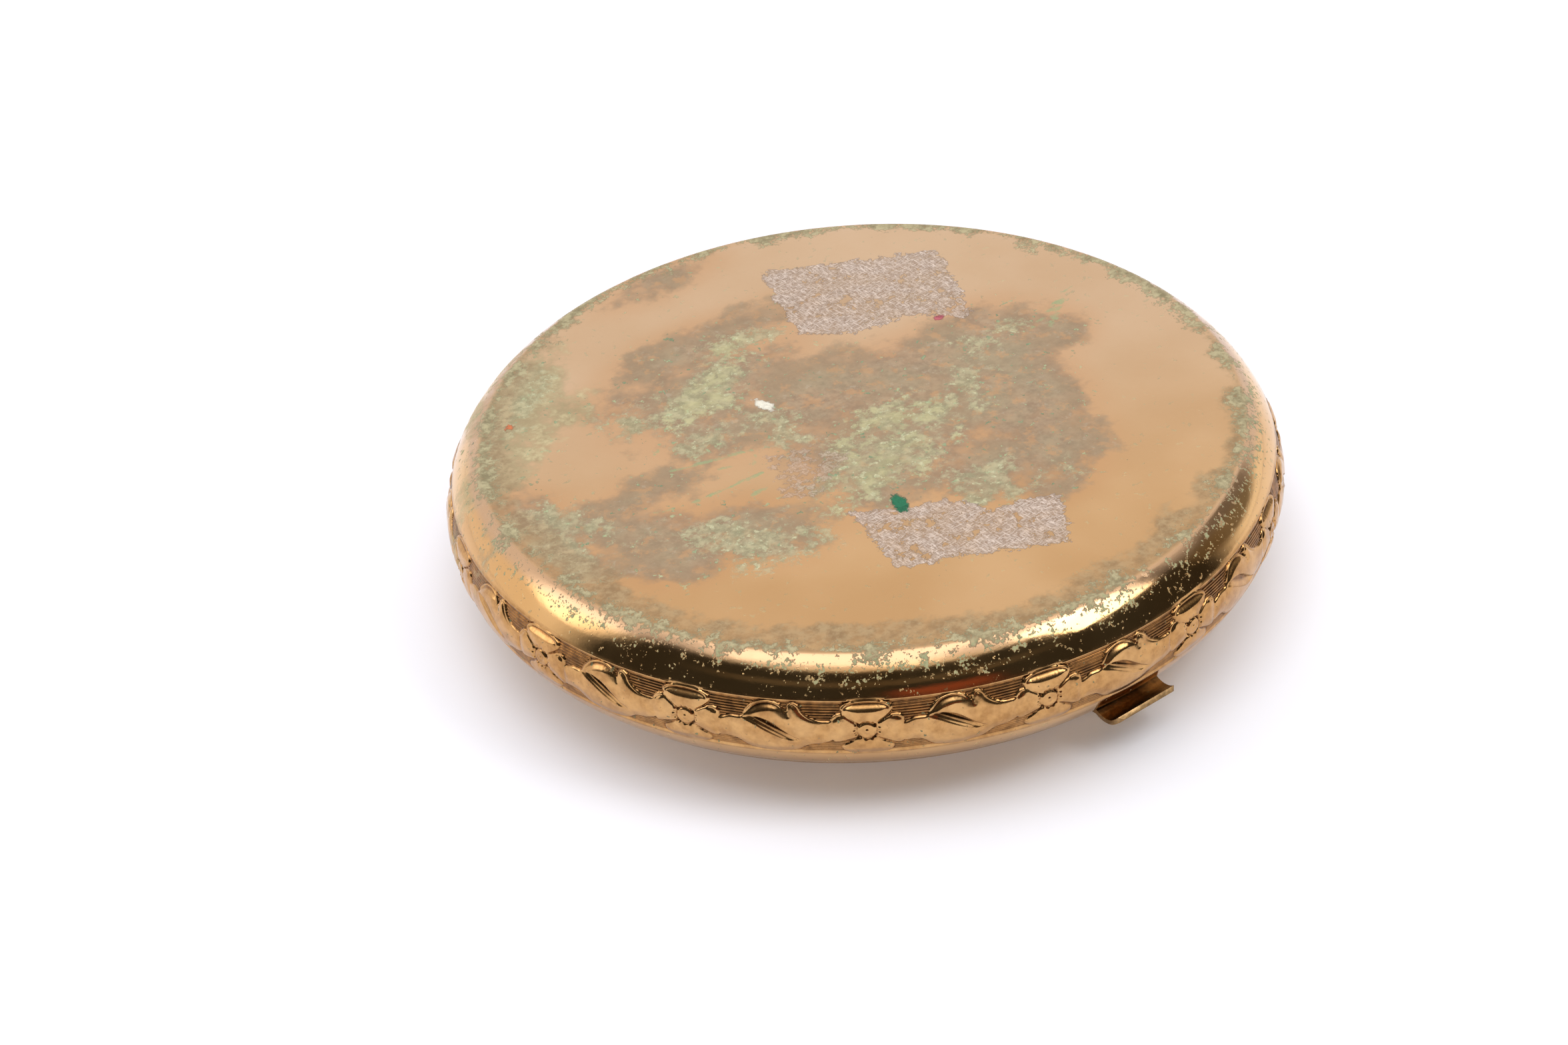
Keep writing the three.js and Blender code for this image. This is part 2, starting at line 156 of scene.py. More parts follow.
# Outlines of one motif: x along the band from the flower's centre, y up along the edge's outline
TOP_PETAL = [(-0.6, 0.7), (-1.2, 1.05), (-1.85, 1.5), (-2.2, 2.05), (-2.05, 2.5), (-1.4, 2.78), (0, 2.86),
             (1.4, 2.78), (2.1, 2.5), (2.22, 2.05), (1.8, 1.5), (1.15, 1.05), (0.6, 0.7)]
LEFT_PETAL = [(-0.75, 0.5), (-1.5, 1.25), (-2.4, 1.72), (-3.0, 1.2), (-3.15, 0.3), (-3.0, -0.6),
              (-2.75, -1.15), (-1.7, -0.95), (-0.75, -0.5)]
RIGHT_PETAL = [(0.75, 0.5), (1.6, 1.2), (2.6, 1.55), (3.1, 1.2), (3.2, 0.2), (3.15, -1.2), (2.6, -1.5),
               (1.5, -1.0), (0.75, -0.5)]
BOTTOM_PETAL = [(-0.6, -0.7), (-1.4, -1.25), (-2.15, -1.75), (-2.0, -2.4), (-1.1, -2.7), (1.1, -2.7),
                (2.0, -2.45), (2.2, -1.8), (1.4, -1.2), (0.6, -0.7)]
LEAF = [(2.9, 0.4), (3.5, 0.72), (4.2, 0.98), (5.1, 1.02), (5.55, 1.75), (6.3, 2.45), (7.4, 2.72),
        (8.4, 2.48), (9.05, 1.85), (9.2, 2.4), (9.6, 2.68), (10.15, 2.35), (10.5, 1.75), (11.2, 1.25),
        (12.0, 1.02), (13.0, 0.95), (13.2, 0.0), (13.0, -0.9), (12.1, -1.35), (10.9, -1.6), (9.9, -2.3),
        (8.4, -2.62), (6.9, -2.62), (5.7, -2.35), (4.7, -1.5), (3.9, -1.3), (3.0, -1.2)]
FOLD_TOP = [(5.2, 1.0), (6.0, 1.2), (6.8, 1.12), (7.7, 0.8), (8.7, 0.1), (9.5, -0.5), (10.4, -0.95)]
FOLD_BOTTOM = [(5.2, 1.0), (6.3, 0.42), (7.0, 0.0), (7.8, -0.45), (8.7, -0.88), (9.5, -1.05),
               (10.4, -0.95)]
CREASES = [((1.1, 0.95), (1.9, 1.5)), ((-1.1, 0.95), (-1.85, 1.55)), ((1.2, -1.05), (2.35, -1.9)),
           ((-1.2, -1.05), (-2.3, -1.75)), ((9.05, 1.85), (9.25, 1.35)), ((3.12, 0.9), (3.15, -0.6)),
           ((12.9, 0.9), (12.8, -0.3))]
# The upper edges that curl outwards over a dip: line, width of the dip, depth
LIPS = [([(-2.12, 2.1), (-1.8, 2.54), (-1.1, 2.76), (0, 2.82), (1.1, 2.76), (1.82, 2.54), (2.14, 2.1)],
         1.0, 0.22),
        ([(-1.8, 1.6), (-2.4, 1.72), (-2.95, 1.3), (-3.1, 0.8)], 0.55, 0.12),
        ([(1.9, 1.45), (2.6, 1.55), (3.05, 1.25), (3.15, 0.8)], 0.55, 0.12),
        ([(5.0, 1.1), (5.6, 1.8), (6.3, 2.42), (7.4, 2.7), (8.4, 2.46), (9.0, 1.9)], 0.95, 0.22),
        ([(9.1, 2.0), (9.25, 2.42), (9.6, 2.66), (10.1, 2.36), (10.5, 1.78), (11.2, 1.28), (12.2, 1.0)],
         0.42, 0.1)]


def rounded(points, steps=6, closed=True):
    """A smooth curve through the points (Catmull-Rom)."""
    points = np.asarray(points, float)
    ends = (points[-1:], points[:2]) if closed else (points[:1], points[-1:])
    padded = np.concatenate([ends[0], points, ends[1]])
    out = []
    for a, b, c, d in zip(padded, padded[1:], padded[2:], padded[3:]):
        for t in np.arange(steps) / steps:
            bend, twist = 2 * a - 5 * b + 4 * c - d, 3 * b - a - 3 * c + d
            out.append(0.5 * (2 * b + (c - a) * t + bend * t**2 + twist * t**3))
    return np.array(out if closed else out + [points[-1]])


def to_segment(x, y, a, b):
    """Distance from x, y to the segment from a to b."""
    ax, ay = a
    dx, dy = b[0] - ax, b[1] - ay
    t = np.clip(((x - ax) * dx + (y - ay) * dy) / max(dx * dx + dy * dy, 1e-12), 0, 1)
    return np.hypot(x - ax - t * dx, y - ay - t * dy)


def inside(x, y, outline):
    """Distance from x, y to a closed outline, positive inside."""
    distance = np.full(np.shape(x), 1e9)
    odd = np.zeros(np.shape(x), bool)
    for a, b in zip(outline, np.roll(outline, -1, axis=0)):
        distance = np.minimum(distance, to_segment(x, y, a, b))
        crosses = (a[1] > y) != (b[1] > y)
        rise = b[1] - a[1] if abs(b[1] - a[1]) > 1e-9 else 1e-9
        odd ^= crosses & (x < (b[0] - a[0]) * (y - a[1]) / rise + a[0])
    return np.where(odd, distance, -distance)


def curl(u, y, line, width, depth):
    """An edge that curls outwards: a thin raised lip along the line, over a dip that fades away from it."""
    line = rounded(line, closed=False)
    distance = np.full_like(u, 1e9)
    run = np.zeros_like(u)
    for index, (a, b) in enumerate(zip(line, line[1:])):
        d = to_segment(u, y, a, b)
        closer = d < distance
        distance = np.where(closer, d, distance)
        run = np.where(closer, (index + 0.5) / (len(line) - 1), run)
    taper = np.sin(math.pi * run)
    reach = 0.22 + (width - 0.22) * taper
    dip = smoothstep(distance, 0.07, 0.19) * (1 - smoothstep(distance, 0.16, np.maximum(reach, 0.2)))
    return taper * (LIP_HEIGHT * ridge(distance, LIP_WIDTH) - depth * dip)


def fold_in_leaf(u, y):
    """The leaf's turned-over part: a step down along its top, rising to a lip along its foot, with barbs."""
    outline = np.concatenate([rounded(FOLD_TOP, closed=False), rounded(FOLD_BOTTOM, closed=False)[::-1]])
    depth = inside(u, y, outline)
    foot = np.interp(u, *rounded(FOLD_BOTTOM, closed=False).T)
    barbs = np.abs(((0.55 * u + 1.0 * y) / 0.36) % 1 - 0.5) * 2
    slope = 0.36 * np.clip(y - foot, 0, 1.2)
    within = smoothstep(depth, -0.03, 0.07)
    lip = 0.04 * ridge(y - foot, 0.1) * smoothstep(u, 5.3, 6.2) * (1 - smoothstep(u, 9.4, 10.3))
    return lip - within * (slope + 0.05 * barbs)


def centre_disc(u, y, height):
    """The flower's eye: a small dished disc with a dot, in a ring of short pleats."""
    radius = np.hypot(u, y)
    pleats = np.abs((PLEATS * np.arctan2(y, u) / TAU) % 1 - 0.5) * 2
    disc = 1 - smoothstep(radius, DISC_RADIUS - 0.06, DISC_RADIUS + 0.02)
    height = height * (1 - disc) + (0.05 - 0.05 * (radius / DISC_RADIUS) ** 2) * disc
    height = height - DISC_RING * ridge(radius - DISC_RADIUS, 0.09)
    height = height + ridge(radius - DISC_RADIUS - 0.21, 0.15) * (0.07 - 0.17 * pleats)
    return height + 0.06 * ridge(radius, 0.16) - 0.06 * ridge(radius - 0.3, 0.1)


def relief(x, y):
    """Height of the band's stamping over the plain edge at x, y."""
    height = np.zeros_like(x)
    nearest = np.full_like(x, -1e9)
    for shift in (-MOTIF, 0, MOTIF):
        u = x - shift
        for outline in (TOP_PETAL, LEFT_PETAL, RIGHT_PETAL, BOTTOM_PETAL, LEAF):
            edge = inside(u, y, rounded(outline))
            nearest = np.maximum(nearest, edge)
            height = np.where(edge > 0, DOME * smoothstep(edge, 0, DOME_REACH), height)
    ground = 1 - smoothstep(nearest, -0.14, 0.02)
    within = smoothstep(y, BAND_LOW, BAND_LOW + 0.3) * (1 - smoothstep(y, BAND_HIGH - 0.08, BAND_HIGH))
    lines = 0.5 + 0.5 * np.cos(TAU * (y - BAND_HIGH) / LINE_PITCH)
    sunk = FOOT_RECESS + (RECESS - FOOT_RECESS) * smoothstep(y, -1.6, 1)
    height = height - within * ground * (sunk + LINE_DEPTH * (lines - 1))
    height -= OUTLINE_DEPTH * ridge(nearest + 0.03, OUTLINE_WIDTH) * within
    for shift in (-MOTIF, 0, MOTIF):
        u = x - shift
        for line, width, depth in LIPS:
            height += np.where(nearest > -0.1, curl(u, y, line, width, depth), 0)
        for a, b in CREASES:
            height -= CREASE_DEPTH * ridge(to_segment(u, y, a, b), CREASE_WIDTH)
        height += fold_in_leaf(u, y)
        near_disc = np.hypot(u, y) < DISC_RADIUS + 0.6
        height = np.where(near_disc, centre_disc(u, y, height), height)
    return height


# ---------------------------------------------------------------- the base shell


COARSE = 300  # columns round the plain parts of the shell
FINE = COARSE * 8  # columns round the band; 160 for each motif
NOTCH_COLUMNS = 10  # half of the hinge's notch, in coarse columns
NOTCH_TOP = 5.2
GROOVE_RADIUS, GROOVE_DEPTH, GROOVE_WIDTH = 34.0, 0.04, 0.28


def edge_angle(z):
    return math.asin((z - WAIST_Z) / EDGE_UP)


def edge_rows(low, high, count, inset=0.0):
    """Points and normals along the edge's ellipse between two of its angles."""
    rows = []
    for t in np.linspace(low, high, count):
        normal = Vector((math.cos(t) / EDGE_ACROSS, math.sin(t) / EDGE_UP)).normalized()
        r = CASE_RADIUS - EDGE_ACROSS + EDGE_ACROSS * math.cos(t) - inset * normal.x
        rows.append((r, WAIST_Z + EDGE_UP * math.sin(t) - inset * normal.y, normal))
    return rows


def band_rows():
    """Rows close enough together for the lines of the ground, from the band's foot to its top."""
    close = LINE_PITCH / 4
    zones = ((BAND_LOW - 0.15, -1.2, close), (-1.2, 1.1, 0.08), (1.1, BAND_HIGH + 0.12, close))
    along = np.concatenate([np.arange(a, b, step) for a, b, step in zones])
    fine = np.linspace(-0.6, 0.6, 2001)
    lengths = np.hypot(EDGE_ACROSS * np.sin(fine), EDGE_UP * np.cos(fine))
    run = np.concatenate([[0], np.cumsum((lengths[1:] + lengths[:-1]) / 2 * np.diff(fine))])
    run -= np.interp(0, fine, run)
    return along, np.interp(along, run, fine)


def shell_rows():
    """Every ring of the shell, from its foot, over the back and down the inside.

    Each is its number of columns, r, z, its normal and where it is on the band, if it is."""
    crease = edge_angle(BACK_Z)
    along, band = band_rows()
    foot = edge_angle(RIM_Z + 0.25)
    rows = [(COARSE, r, z, n, None) for r, z, n in edge_rows(foot, band[0] - 0.02, 9)]
    for s, (r, z, n) in zip(along, [edge_rows(t, t, 1)[0] for t in band]):
        rows.append((FINE, r, z, n, s))
    rows += [(COARSE, r, z, n, None) for r, z, n in edge_rows(band[-1] + 0.015, crease - 0.02, 16)]
    up = Vector((0, 1))
    offsets = np.linspace(-2, 2, 9) * GROOVE_WIDTH
    flat = np.arange(GROOVE_RADIUS - 3 * GROOVE_WIDTH, 0.3, -0.42)
    for r in [*(GROOVE_RADIUS - offsets), *flat]:
        dip = GROOVE_DEPTH * ridge(r - GROOVE_RADIUS, GROOVE_WIDTH)
        rows.append((COARSE, r, BACK_Z - dip, up, None))
    outside = len(rows)
    inner = [(COARSE, r, BACK_Z - SHEET, -up, None) for r in np.linspace(0.4, 33.0, 24)]
    inner += [(COARSE, r, z, -n, None) for r, z, n in edge_rows(crease - 0.06, foot, 18, SHEET)]
    inner.append((COARSE, inner[-1][1] + 0.12, RIM_Z + 0.06, -up, None))
    last = edge_rows(foot, foot, 1)[0]
    inner.append((COARSE, last[0] - 0.12, RIM_Z + 0.06, -up, None))
    return rows + inner, outside


def base_shell():
    rows, outside = shell_rows()
    start_angle = FIRST_FLOWER - math.pi / FLOWERS
    hinge = round(((math.pi / 2 - start_angle) % TAU) / TAU * COARSE)
    vertices, faces, heights, starts = [], [], [], []
    for index, (count, r, z, normal, s) in enumerate(rows):
        turn = start_angle + TAU * np.arange(count) / count
        height = np.zeros(count)
        if s is not None:
            one = count // FLOWERS
            x = (np.arange(one) / one - 0.5) * MOTIF
            height = np.tile(relief(x, np.full(one, s)), FLOWERS)
        radius = np.full(count, r) + height * normal.x
        level = np.full(count, z) + height * normal.y
        if count == COARSE and z < NOTCH_TOP:
            away = np.abs((np.arange(count) - hinge + count // 2) % count - count // 2)
            notched = away <= NOTCH_COLUMNS
            if index < outside:
                tilt = edge_angle(NOTCH_TOP) + (z - RIM_Z) * 0.02
                up_r, up_z, _ = edge_rows(tilt, tilt, 1)[0]
            elif index < len(rows) - 2:
                tilt = edge_angle(NOTCH_TOP) + (z - RIM_Z) * 0.02
                up_r, up_z, _ = edge_rows(tilt, tilt, 1, SHEET)[0]
            else:
                up_r = radius[0] + (edge_rows(edge_angle(NOTCH_TOP), 0, 2)[0][0] - rows[0][1])
                up_z = NOTCH_TOP - 0.1
            radius = np.where(notched, up_r, radius)
            level = np.where(notched, up_z, level)
        starts.append((len(vertices), count))
        vertices.extend(circle(radius, turn, level))
        heights.extend(height)
        if index and index != outside:
            faces += ring_faces(*starts[-2], *starts[-1])
    top_centre, low_centre = len(vertices), len(vertices) + 1
    vertices += [(0, 0, BACK_Z), (0, 0, BACK_Z - SHEET)]
    heights += [0, 0]
    faces += ring_faces(*starts[outside - 1], top_centre, 1)
    faces += ring_faces(low_centre, 1, *starts[outside])
    faces += ring_faces(*starts[-1], *starts[0])
    piece = place(raw("base_shell_visual", vertices, faces), "base", "gilt_back", ["base_shell"])
    add_attribute(piece, "relief", heights)
    add_patina(piece, np.array(vertices))
    return piece


# ---------------------------------------------------------------- tarnish on the back


def ellipse(x, y, centre, rx, ry, turn=0.0):
    """Roughly the distance in millimetres inside an ellipse's edge."""
    c, s = math.cos(math.radians(turn)), math.sin(math.radians(turn))
    u, v = x - centre[0], y - centre[1]
    u, v = (c * u + s * v) / rx, (-s * u + c * v) / ry
    return (1 - np.hypot(u, v)) * min(rx, ry)


def blobs(x, y, places):
    """The union of some ellipses, blended where they meet."""
    fields = [ellipse(x, y, *place) for place in places]
    return np.log(np.add.reduce([np.exp(np.clip(f, -12, 12) * 1.2) for f in fields])) / 1.2


# Centre, half-width, half-height, turn in degrees
BROWN = [((-4, 20.5), 6.5, 3.0), ((-6, 14), 9.5, 4.4, 10), ((-9.5, 8), 5.4, 3.4), ((1, 6), 7.4, 5),
         ((10, 4), 9.4, 4), ((15, -0.5), 7, 5.4), ((12.5, -7), 6.2, 6.4), ((9.5, -15), 5, 3.8),
         ((-1, -6), 7.4, 5.6), ((3, -13.5), 4.6, 4), ((-24, 0.5), 9, 2.8, -42),
         ((-17.5, -6.5), 3.8, 5, 20), ((-31.4, 3.5), 2, 4.5), ((-21.5, 5), 4.4, 1.6),
         ((2, 32.4), 4.2, 1.8), ((4.5, 20), 2.6, 1.6), ((-13.5, 17.5), 2.4, 2), ((6, 0.5), 5, 4),
         ((19, 4.5), 3.4, 3.4), ((23.5, -0.5), 2.4, 2.6), ((-5, 0.5), 2.6, 2.6), ((-6, -9.5), 3.4, 2.8),
         ((-24.5, -4.5), 4, 3.6), ((-30.5, 9.5), 2.6, 4), ((6, -19.5), 2.6, 1.6), ((4.5, -5.5), 4, 3.4)]
OLIVE = [((-21, 24), 8.2, 4.2, 45), ((-29, 16.5), 4.4, 2.0, 48), ((-17, 29), 4.2, 2.0, 50),
         ((-32.4, 6), 1.6, 6), ((-18, 21), 2.6, 1.8)]
GREEN = [((-3, -6.2), 6.2, 3.6, 8), ((1.5, -1.6), 4.6, 2.0), ((-6.5, 14), 4.4, 2.8, 20),
         ((-11, 8), 2.6, 1.4), ((-19, -6.5), 1.6, 4, 35), ((-28.6, 5.4), 1.4, 1.9),
         ((-23, 23.5), 4.4, 1.8, 40), ((1.5, -15.5), 3.0, 2.6, 30), ((7, -18.4), 1.1, 0.9),
         ((3, 17.6), 1.6, 0.9), ((18, 2.2), 1.8, 1.0), ((11, -1.5), 2.2, 1.0, 20),
         ((-17, 27.5), 2.0, 1.0, 40), ((-1.5, 18.5), 1.4, 1.0), ((-6, 4), 1.6, 2.6, -20),
         ((-20, -10.5), 1.6, 0.9), ((-15, 14.5), 1.2, 1.6), ((6, -4.5), 2.0, 1.4),
         ((-28.9, 5.3), 1.3, 2.2), ((-30.9, 1.9), 0.9, 1.4), ((-29.8, 8.5), 0.7, 0.9),
         ((-18.4, -5.7), 1.0, 0.8), ((-16.6, -8.9), 1.0, 0.8), ((-17.3, -10.6), 0.8, 0.6)]
BRIGHT = [((-3.5, -6.6), 5.2, 2.6, 8), ((2.2, -1.8), 3.6, 1.6, -8), ((-7, 13.6), 3, 1.5, 20),
          ((-1.6, 18.6), 1, 0.8)]
LABEL_STRIPS = [[(10.3, 26.5), (17, 22.2), (24.5, 17.3), (22, 12), (19.5, 7), (18.2, 6.6), (15.5, 10.5),
                 (12.5, 11), (9.3, 12), (5.5, 15.5), (7.8, 21)],
                [(-9.8, -10.3), (-7, -12.4), (-2.5, -14.6), (-0.5, -18.6), (5, -20.5), (3.2, -24), (1, -27),
                 (-6, -22.8), (-12.5, -19.5), (-11, -15)]]
LABEL_TRACE = [(-12.8, -4.2), (-9.5, 1.8), (-6.4, 0.6), (-4.4, -3), (-7.5, -4.4), (-9.8, -6.2)]
CHIPS = {"emerald": [((-5.8, -12.2), 0.62, 1.5, -22)], "white": [((-4.3, 8.5), 0.6, 1.25, 5)],
         "pink": [((16.7, 8.3), 0.45, 0.35)], "orange": [((-23.2, 22.1), 0.6, 0.4, 20)]}
SCRATCHES = [((21.3, 0.6), (29.2, 3.7)), ((22.8, -0.1), (27.0, 2.2)), ((23.0, -0.3), (25.1, 0.8)),
             ((-17.0, 6.1), (-9.7, 3.6)), ((-18.7, 0.8), (-11.3, 0.1)), ((-14.3, -2.0), (-12.7, -1.9)),
             ((-22.2, 1.9), (-20.5, 1.4)), ((-13.7, 3.3), (-12.5, 2.8)), ((-10.0, 2.9), (-11.0, 1.6)),
             ((-16.4, 9.3), (-15.4, 9.6))]


# Radii of the crust in the crease, the flecks on the shoulder and the inner edge of the dull film
CRUST_RADIUS, FLECK_RADIUS, FILM_RADIUS = 34.3, 35.7, 32.6
SHOULDER, SHOULDER_END = (34.4, 34.8), (35.3, 36.1)  # where the polished edge starts


def add_patina(piece, at):
    """Fields in millimetres, positive inside each kind of mark. The material roughens their edges."""
    x, y, z = at.T
    r = np.hypot(x, y)
    turn = np.arctan2(y, x)
    on_back = z > WAIST_Z
    broad = 0.5 * np.cos(turn - 0.7) + 0.35 * np.cos(3 * turn + 1) + 0.25 * np.cos(7 * turn)
    front = 0.5 + 0.5 * np.cos(turn + math.radians(85))
    crease = 0.42 + 0.2 * broad - 1.1 * np.abs(r - CRUST_RADIUS - 0.15 * broad)
    shoulder = -0.55 - 0.9 * np.abs(r - FLECK_RADIUS) - 0.5 * (1 - front)
    fields = {
        "brown": blobs(x, y, BROWN),
        "olive": blobs(x, y, OLIVE),
        "green": blobs(x, y, GREEN),
        "bright": blobs(x, y, BRIGHT),
        "crease": crease,
        "film": r - FILM_RADIUS - 0.8 * broad + 1.3 * np.cos(turn + math.radians(145)),
        "shoulder": shoulder,
        "label": np.maximum.reduce([inside(x, y, np.array(strip, float)) for strip in LABEL_STRIPS]),
        "trace": inside(x, y, np.array(LABEL_TRACE, float)),
        "scratch": 0.17 - np.minimum.reduce([to_segment(x, y, a, b) for a, b in SCRATCHES]),
        **{name: blobs(x, y, places) for name, places in CHIPS.items()},
    }
    for name, values in fields.items():
        add_attribute(piece, name, np.where(on_back, np.clip(values, -9, 9), -9))
    # rim: the polished strip on the shoulder, whose colour is dulled there as painted shade on its reflection
    add_attribute(piece, "rim", smoothstep(r, *SHOULDER) * (1 - smoothstep(r, *SHOULDER_END)) * on_back)
    # far runs from the side towards the camera to the side away from it, and carries the back's painted
    # reflection
    add_attribute(piece, "far", smoothstep(0.45 * x + 0.89 * y, -24, 14))
    add_attribute(piece, "wall", smoothstep(r, SHOULDER[0], SHOULDER[1] + 0.1) * on_back + (z <= WAIST_Z))
    add_attribute(piece, "band", ((z > 6.8) & (z < 12.7) & (r > 34)).astype(float))


# ---------------------------------------------------------------- plain solids


def turned(name, outline, segments=256, along="Z", centre=(0, 0, 0)):
    """A solid turned from an outline of (radius, height) that runs counter-clockwise.

    It starts and ends on the axis, or closes on itself."""
    turn = TAU * np.arange(segments) / segments
    vertices, rings = [], []
    for radius, height in outline:
        if radius < 1e-6:
            rings.append((len(vertices), 1))
            vertices.append((0, 0, height))
        else:
            rings.append((len(vertices), segments))
            vertices.extend(circle(radius, turn, height))
    closed = outline[0][0] > 1e-6
    faces = []
    for ring, after in zip(rings, rings[1:] + (rings[:1] if closed else [])):
        faces += ring_faces(*ring, *after)
    points = np.array(vertices)
    if along == "X":
        points = points[:, [2, 0, 1]]
    return raw(name, points + np.array(centre), faces)


def block(x, y, z):
    """A box from its extents along each axis."""
    corners = [(a, b, c) for a in x for b in y for c in z]
    faces = [(0, 1, 3, 2), (4, 6, 7, 5), (0, 4, 5, 1), (2, 3, 7, 6), (0, 2, 6, 4), (1, 5, 7, 3)]
    return raw("block", corners, faces)


def prism(outline, low, high, along="Z"):
    """A prism over an outline: x, y for one along Z, and y, z for one along X."""
    count = len(outline)
    points = [(a, b, h) for h in (low, high) for a, b in outline]
    faces = [tuple(reversed(range(count))), tuple(range(count, 2 * count))]
    faces += [(i, (i + 1) % count, count + (i + 1) % count, count + i) for i in range(count)]
    points = np.array(points, float)
    made = raw("prism", points[:, [2, 0, 1]] if along == "X" else points, faces)
    tidy = bmesh.new()
    tidy.from_mesh(made.data)
    bmesh.ops.recalc_face_normals(tidy, faces=tidy.faces)
    tidy.to_mesh(made.data)
    tidy.free()
    return made


def modified(piece, kind, **settings):
    """The piece with one modifier applied."""
    made = piece.modifiers.new(kind, kind)
    for key, value in settings.items():
        setattr(made, key, value)
    graph = bpy.context.evaluated_depsgraph_get()
    done = bpy.data.meshes.new_from_object(piece.evaluated_get(graph))
    piece.modifiers.clear()
    piece.data = done
    return piece


def combined(piece, operation, *others):
    for other in others:
        modified(piece, "BOOLEAN", object=other, operation=operation, solver="EXACT")
        bpy.data.objects.remove(other)
    return piece


def cut(piece, *others):
    return combined(piece, "DIFFERENCE", *others)


def joined(piece, *others):
    return combined(piece, "UNION", *others)


EASED_FROM = 35  # degrees between faces


def eased(piece, width, segments=2):
    """The piece with its sharp edges rounded over."""
    modified(piece, "BEVEL", width=width * M_PER_MM, segments=segments, limit_method="ANGLE",
             angle_limit=math.radians(EASED_FROM), use_clamp_overlap=True)
    return piece


def fitted(piece, node, body, slot, sharp=40):
    """Names the piece after the CAD node it replaces, places it, and marks its sharp edges."""
    piece.name = piece.data.name = f"{node}_visual"
    place(piece, body, slot, [node])
    piece.data.set_sharp_from_angle(angle=math.radians(sharp))
    return piece


def arc(centre, radius, start, end, steps):
    """Points round a centre, between two angles in degrees."""
    turn = np.radians(np.linspace(start, end, steps + 1))
    return [(centre[0] + radius * math.cos(t), centre[1] + radius * math.sin(t)) for t in turn]


# ---------------------------------------------------------------- the lid half


LID_FLAT_RADIUS, LID_RIM_RADIUS = 25, 34.4
SEAT_RADIUS, SEAT_DEPTH = 22.8, 0.8
NOTCH_HALF, HINGE_SLOT = 7.3, 7.1  # half-widths of the hinge's cuts in the lid and in the tray's flange
HINGE_Y, HINGE_Z, HINGE_HALF, KNUCKLE, BORE, PIN = 35.9, 3.9, 6.8, 1.0, 0.55, 0.47
HINGE = (HINGE_Y, HINGE_Z, KNUCKLE, BORE)
SPLIT, SPLIT_GAP = 2.3, 0.15
THUMB_HALF, THUMB_SHEET, SHELF_Z, HOOK_Y, HOOK_TOP = 3.55, 0.45, 3.3, 32.4, 7.2
TROUGH_Y, TROUGH_Z, TROUGH_RADIUS, TROUGH_INNER, TROUGH_OUTER = 35.7, 5.25, 1.8, 33.5, 51.6


def lid_shell():
    across = LID_RIM_RADIUS - LID_FLAT_RADIUS
    dome = (across**2 + LID_RIM_Z**2) / (2 * LID_RIM_Z)
    centre = (LID_FLAT_RADIUS, dome)
    rim = math.degrees(math.asin((LID_RIM_Z - dome) / dome))
    inner_rim = math.degrees(math.asin((LID_RIM_Z - dome) / (dome - SHEET)))
    outline = [(0, SEAT_DEPTH), (SEAT_RADIUS - 0.1, SEAT_DEPTH), (SEAT_RADIUS, SEAT_DEPTH - 0.1),
               (SEAT_RADIUS, 0.12), (SEAT_RADIUS + 0.12, 0), *arc(centre, dome, -90, rim - 1.2, 22)]
    middle = LID_RIM_RADIUS - SHEET / 2
    outline += [(middle + 0.2, LID_RIM_Z - 0.05), (middle, LID_RIM_Z), (middle - 0.2, LID_RIM_Z - 0.05)]
    outline += arc(centre, dome - SHEET, inner_rim - 1.2, -86, 18)
    outline += [(SEAT_RADIUS + SHEET, SHEET), (SEAT_RADIUS, SEAT_DEPTH + SHEET), (0, SEAT_DEPTH + SHEET)]
    shell = turned("lid", outline)
    tab = block((-THUMB_HALF - 0.3, THUMB_HALF + 0.3), (-BEYOND, -HOOK_Y + 0.6), (SHELF_Z - 0.1, 5))
    hinge = block((-NOTCH_HALF, NOTCH_HALF), (31.5, BEYOND), (HINGE_Z - KNUCKLE + 0.05, 5))
    return fitted(cut(shell, tab, hinge), "lid_shell", "lid", "gilt", 30)


def lid_panel():
    radius, low, high = 22.6, 0.2, SEAT_DEPTH - 0.06
    outline = [(0, low), *[(r, low + 0.16 * (r / radius) ** 4) for r in np.linspace(2, radius - 0.3, 12)],
               (radius - 0.08, low + 0.24), (radius, low + 0.34), (radius, high), (0, high)]
    return fitted(turned("panel", outline), "lid_panel", "lid", "enamel")


def mirror():
    low, high = node_box("mirror")
    radius = high.x
    outline = [(0, low.z), (radius - 0.1, low.z), (radius, low.z + 0.1), (radius, high.z - 0.55),
               (radius - 0.05, high.z - 0.48), (radius - 1.15, high.z - 0.02), (radius - 1.25, high.z),
               *[(r, high.z) for r in np.linspace(radius - 2, 1, 8)], (0, high.z)]
    return fitted(turned("mirror", outline), "mirror", "lid", "mirror_glass", 12)


def mirror_ring():
    low, high = node_box("mirror_ring")
    inner, outer, glass = 27.6, high.x, 29.26
    top = high.z
    outline = [(glass, low.z), (30.4, low.z), (outer, 2.75), *arc((outer - 0.3, top - 0.3), 0.3, 0, 90, 6),
               *arc((29.3, top - 0.45), 0.45, 60, 110, 4), (28.6, top - 0.16), (inner + 0.15, top - 0.2),
               *arc((inner + 0.1, top - 0.27), 0.1, 100, 260, 6), (glass, top - 0.35)]
    return fitted(turned("ring", outline), "mirror_ring", "lid", "gilt")


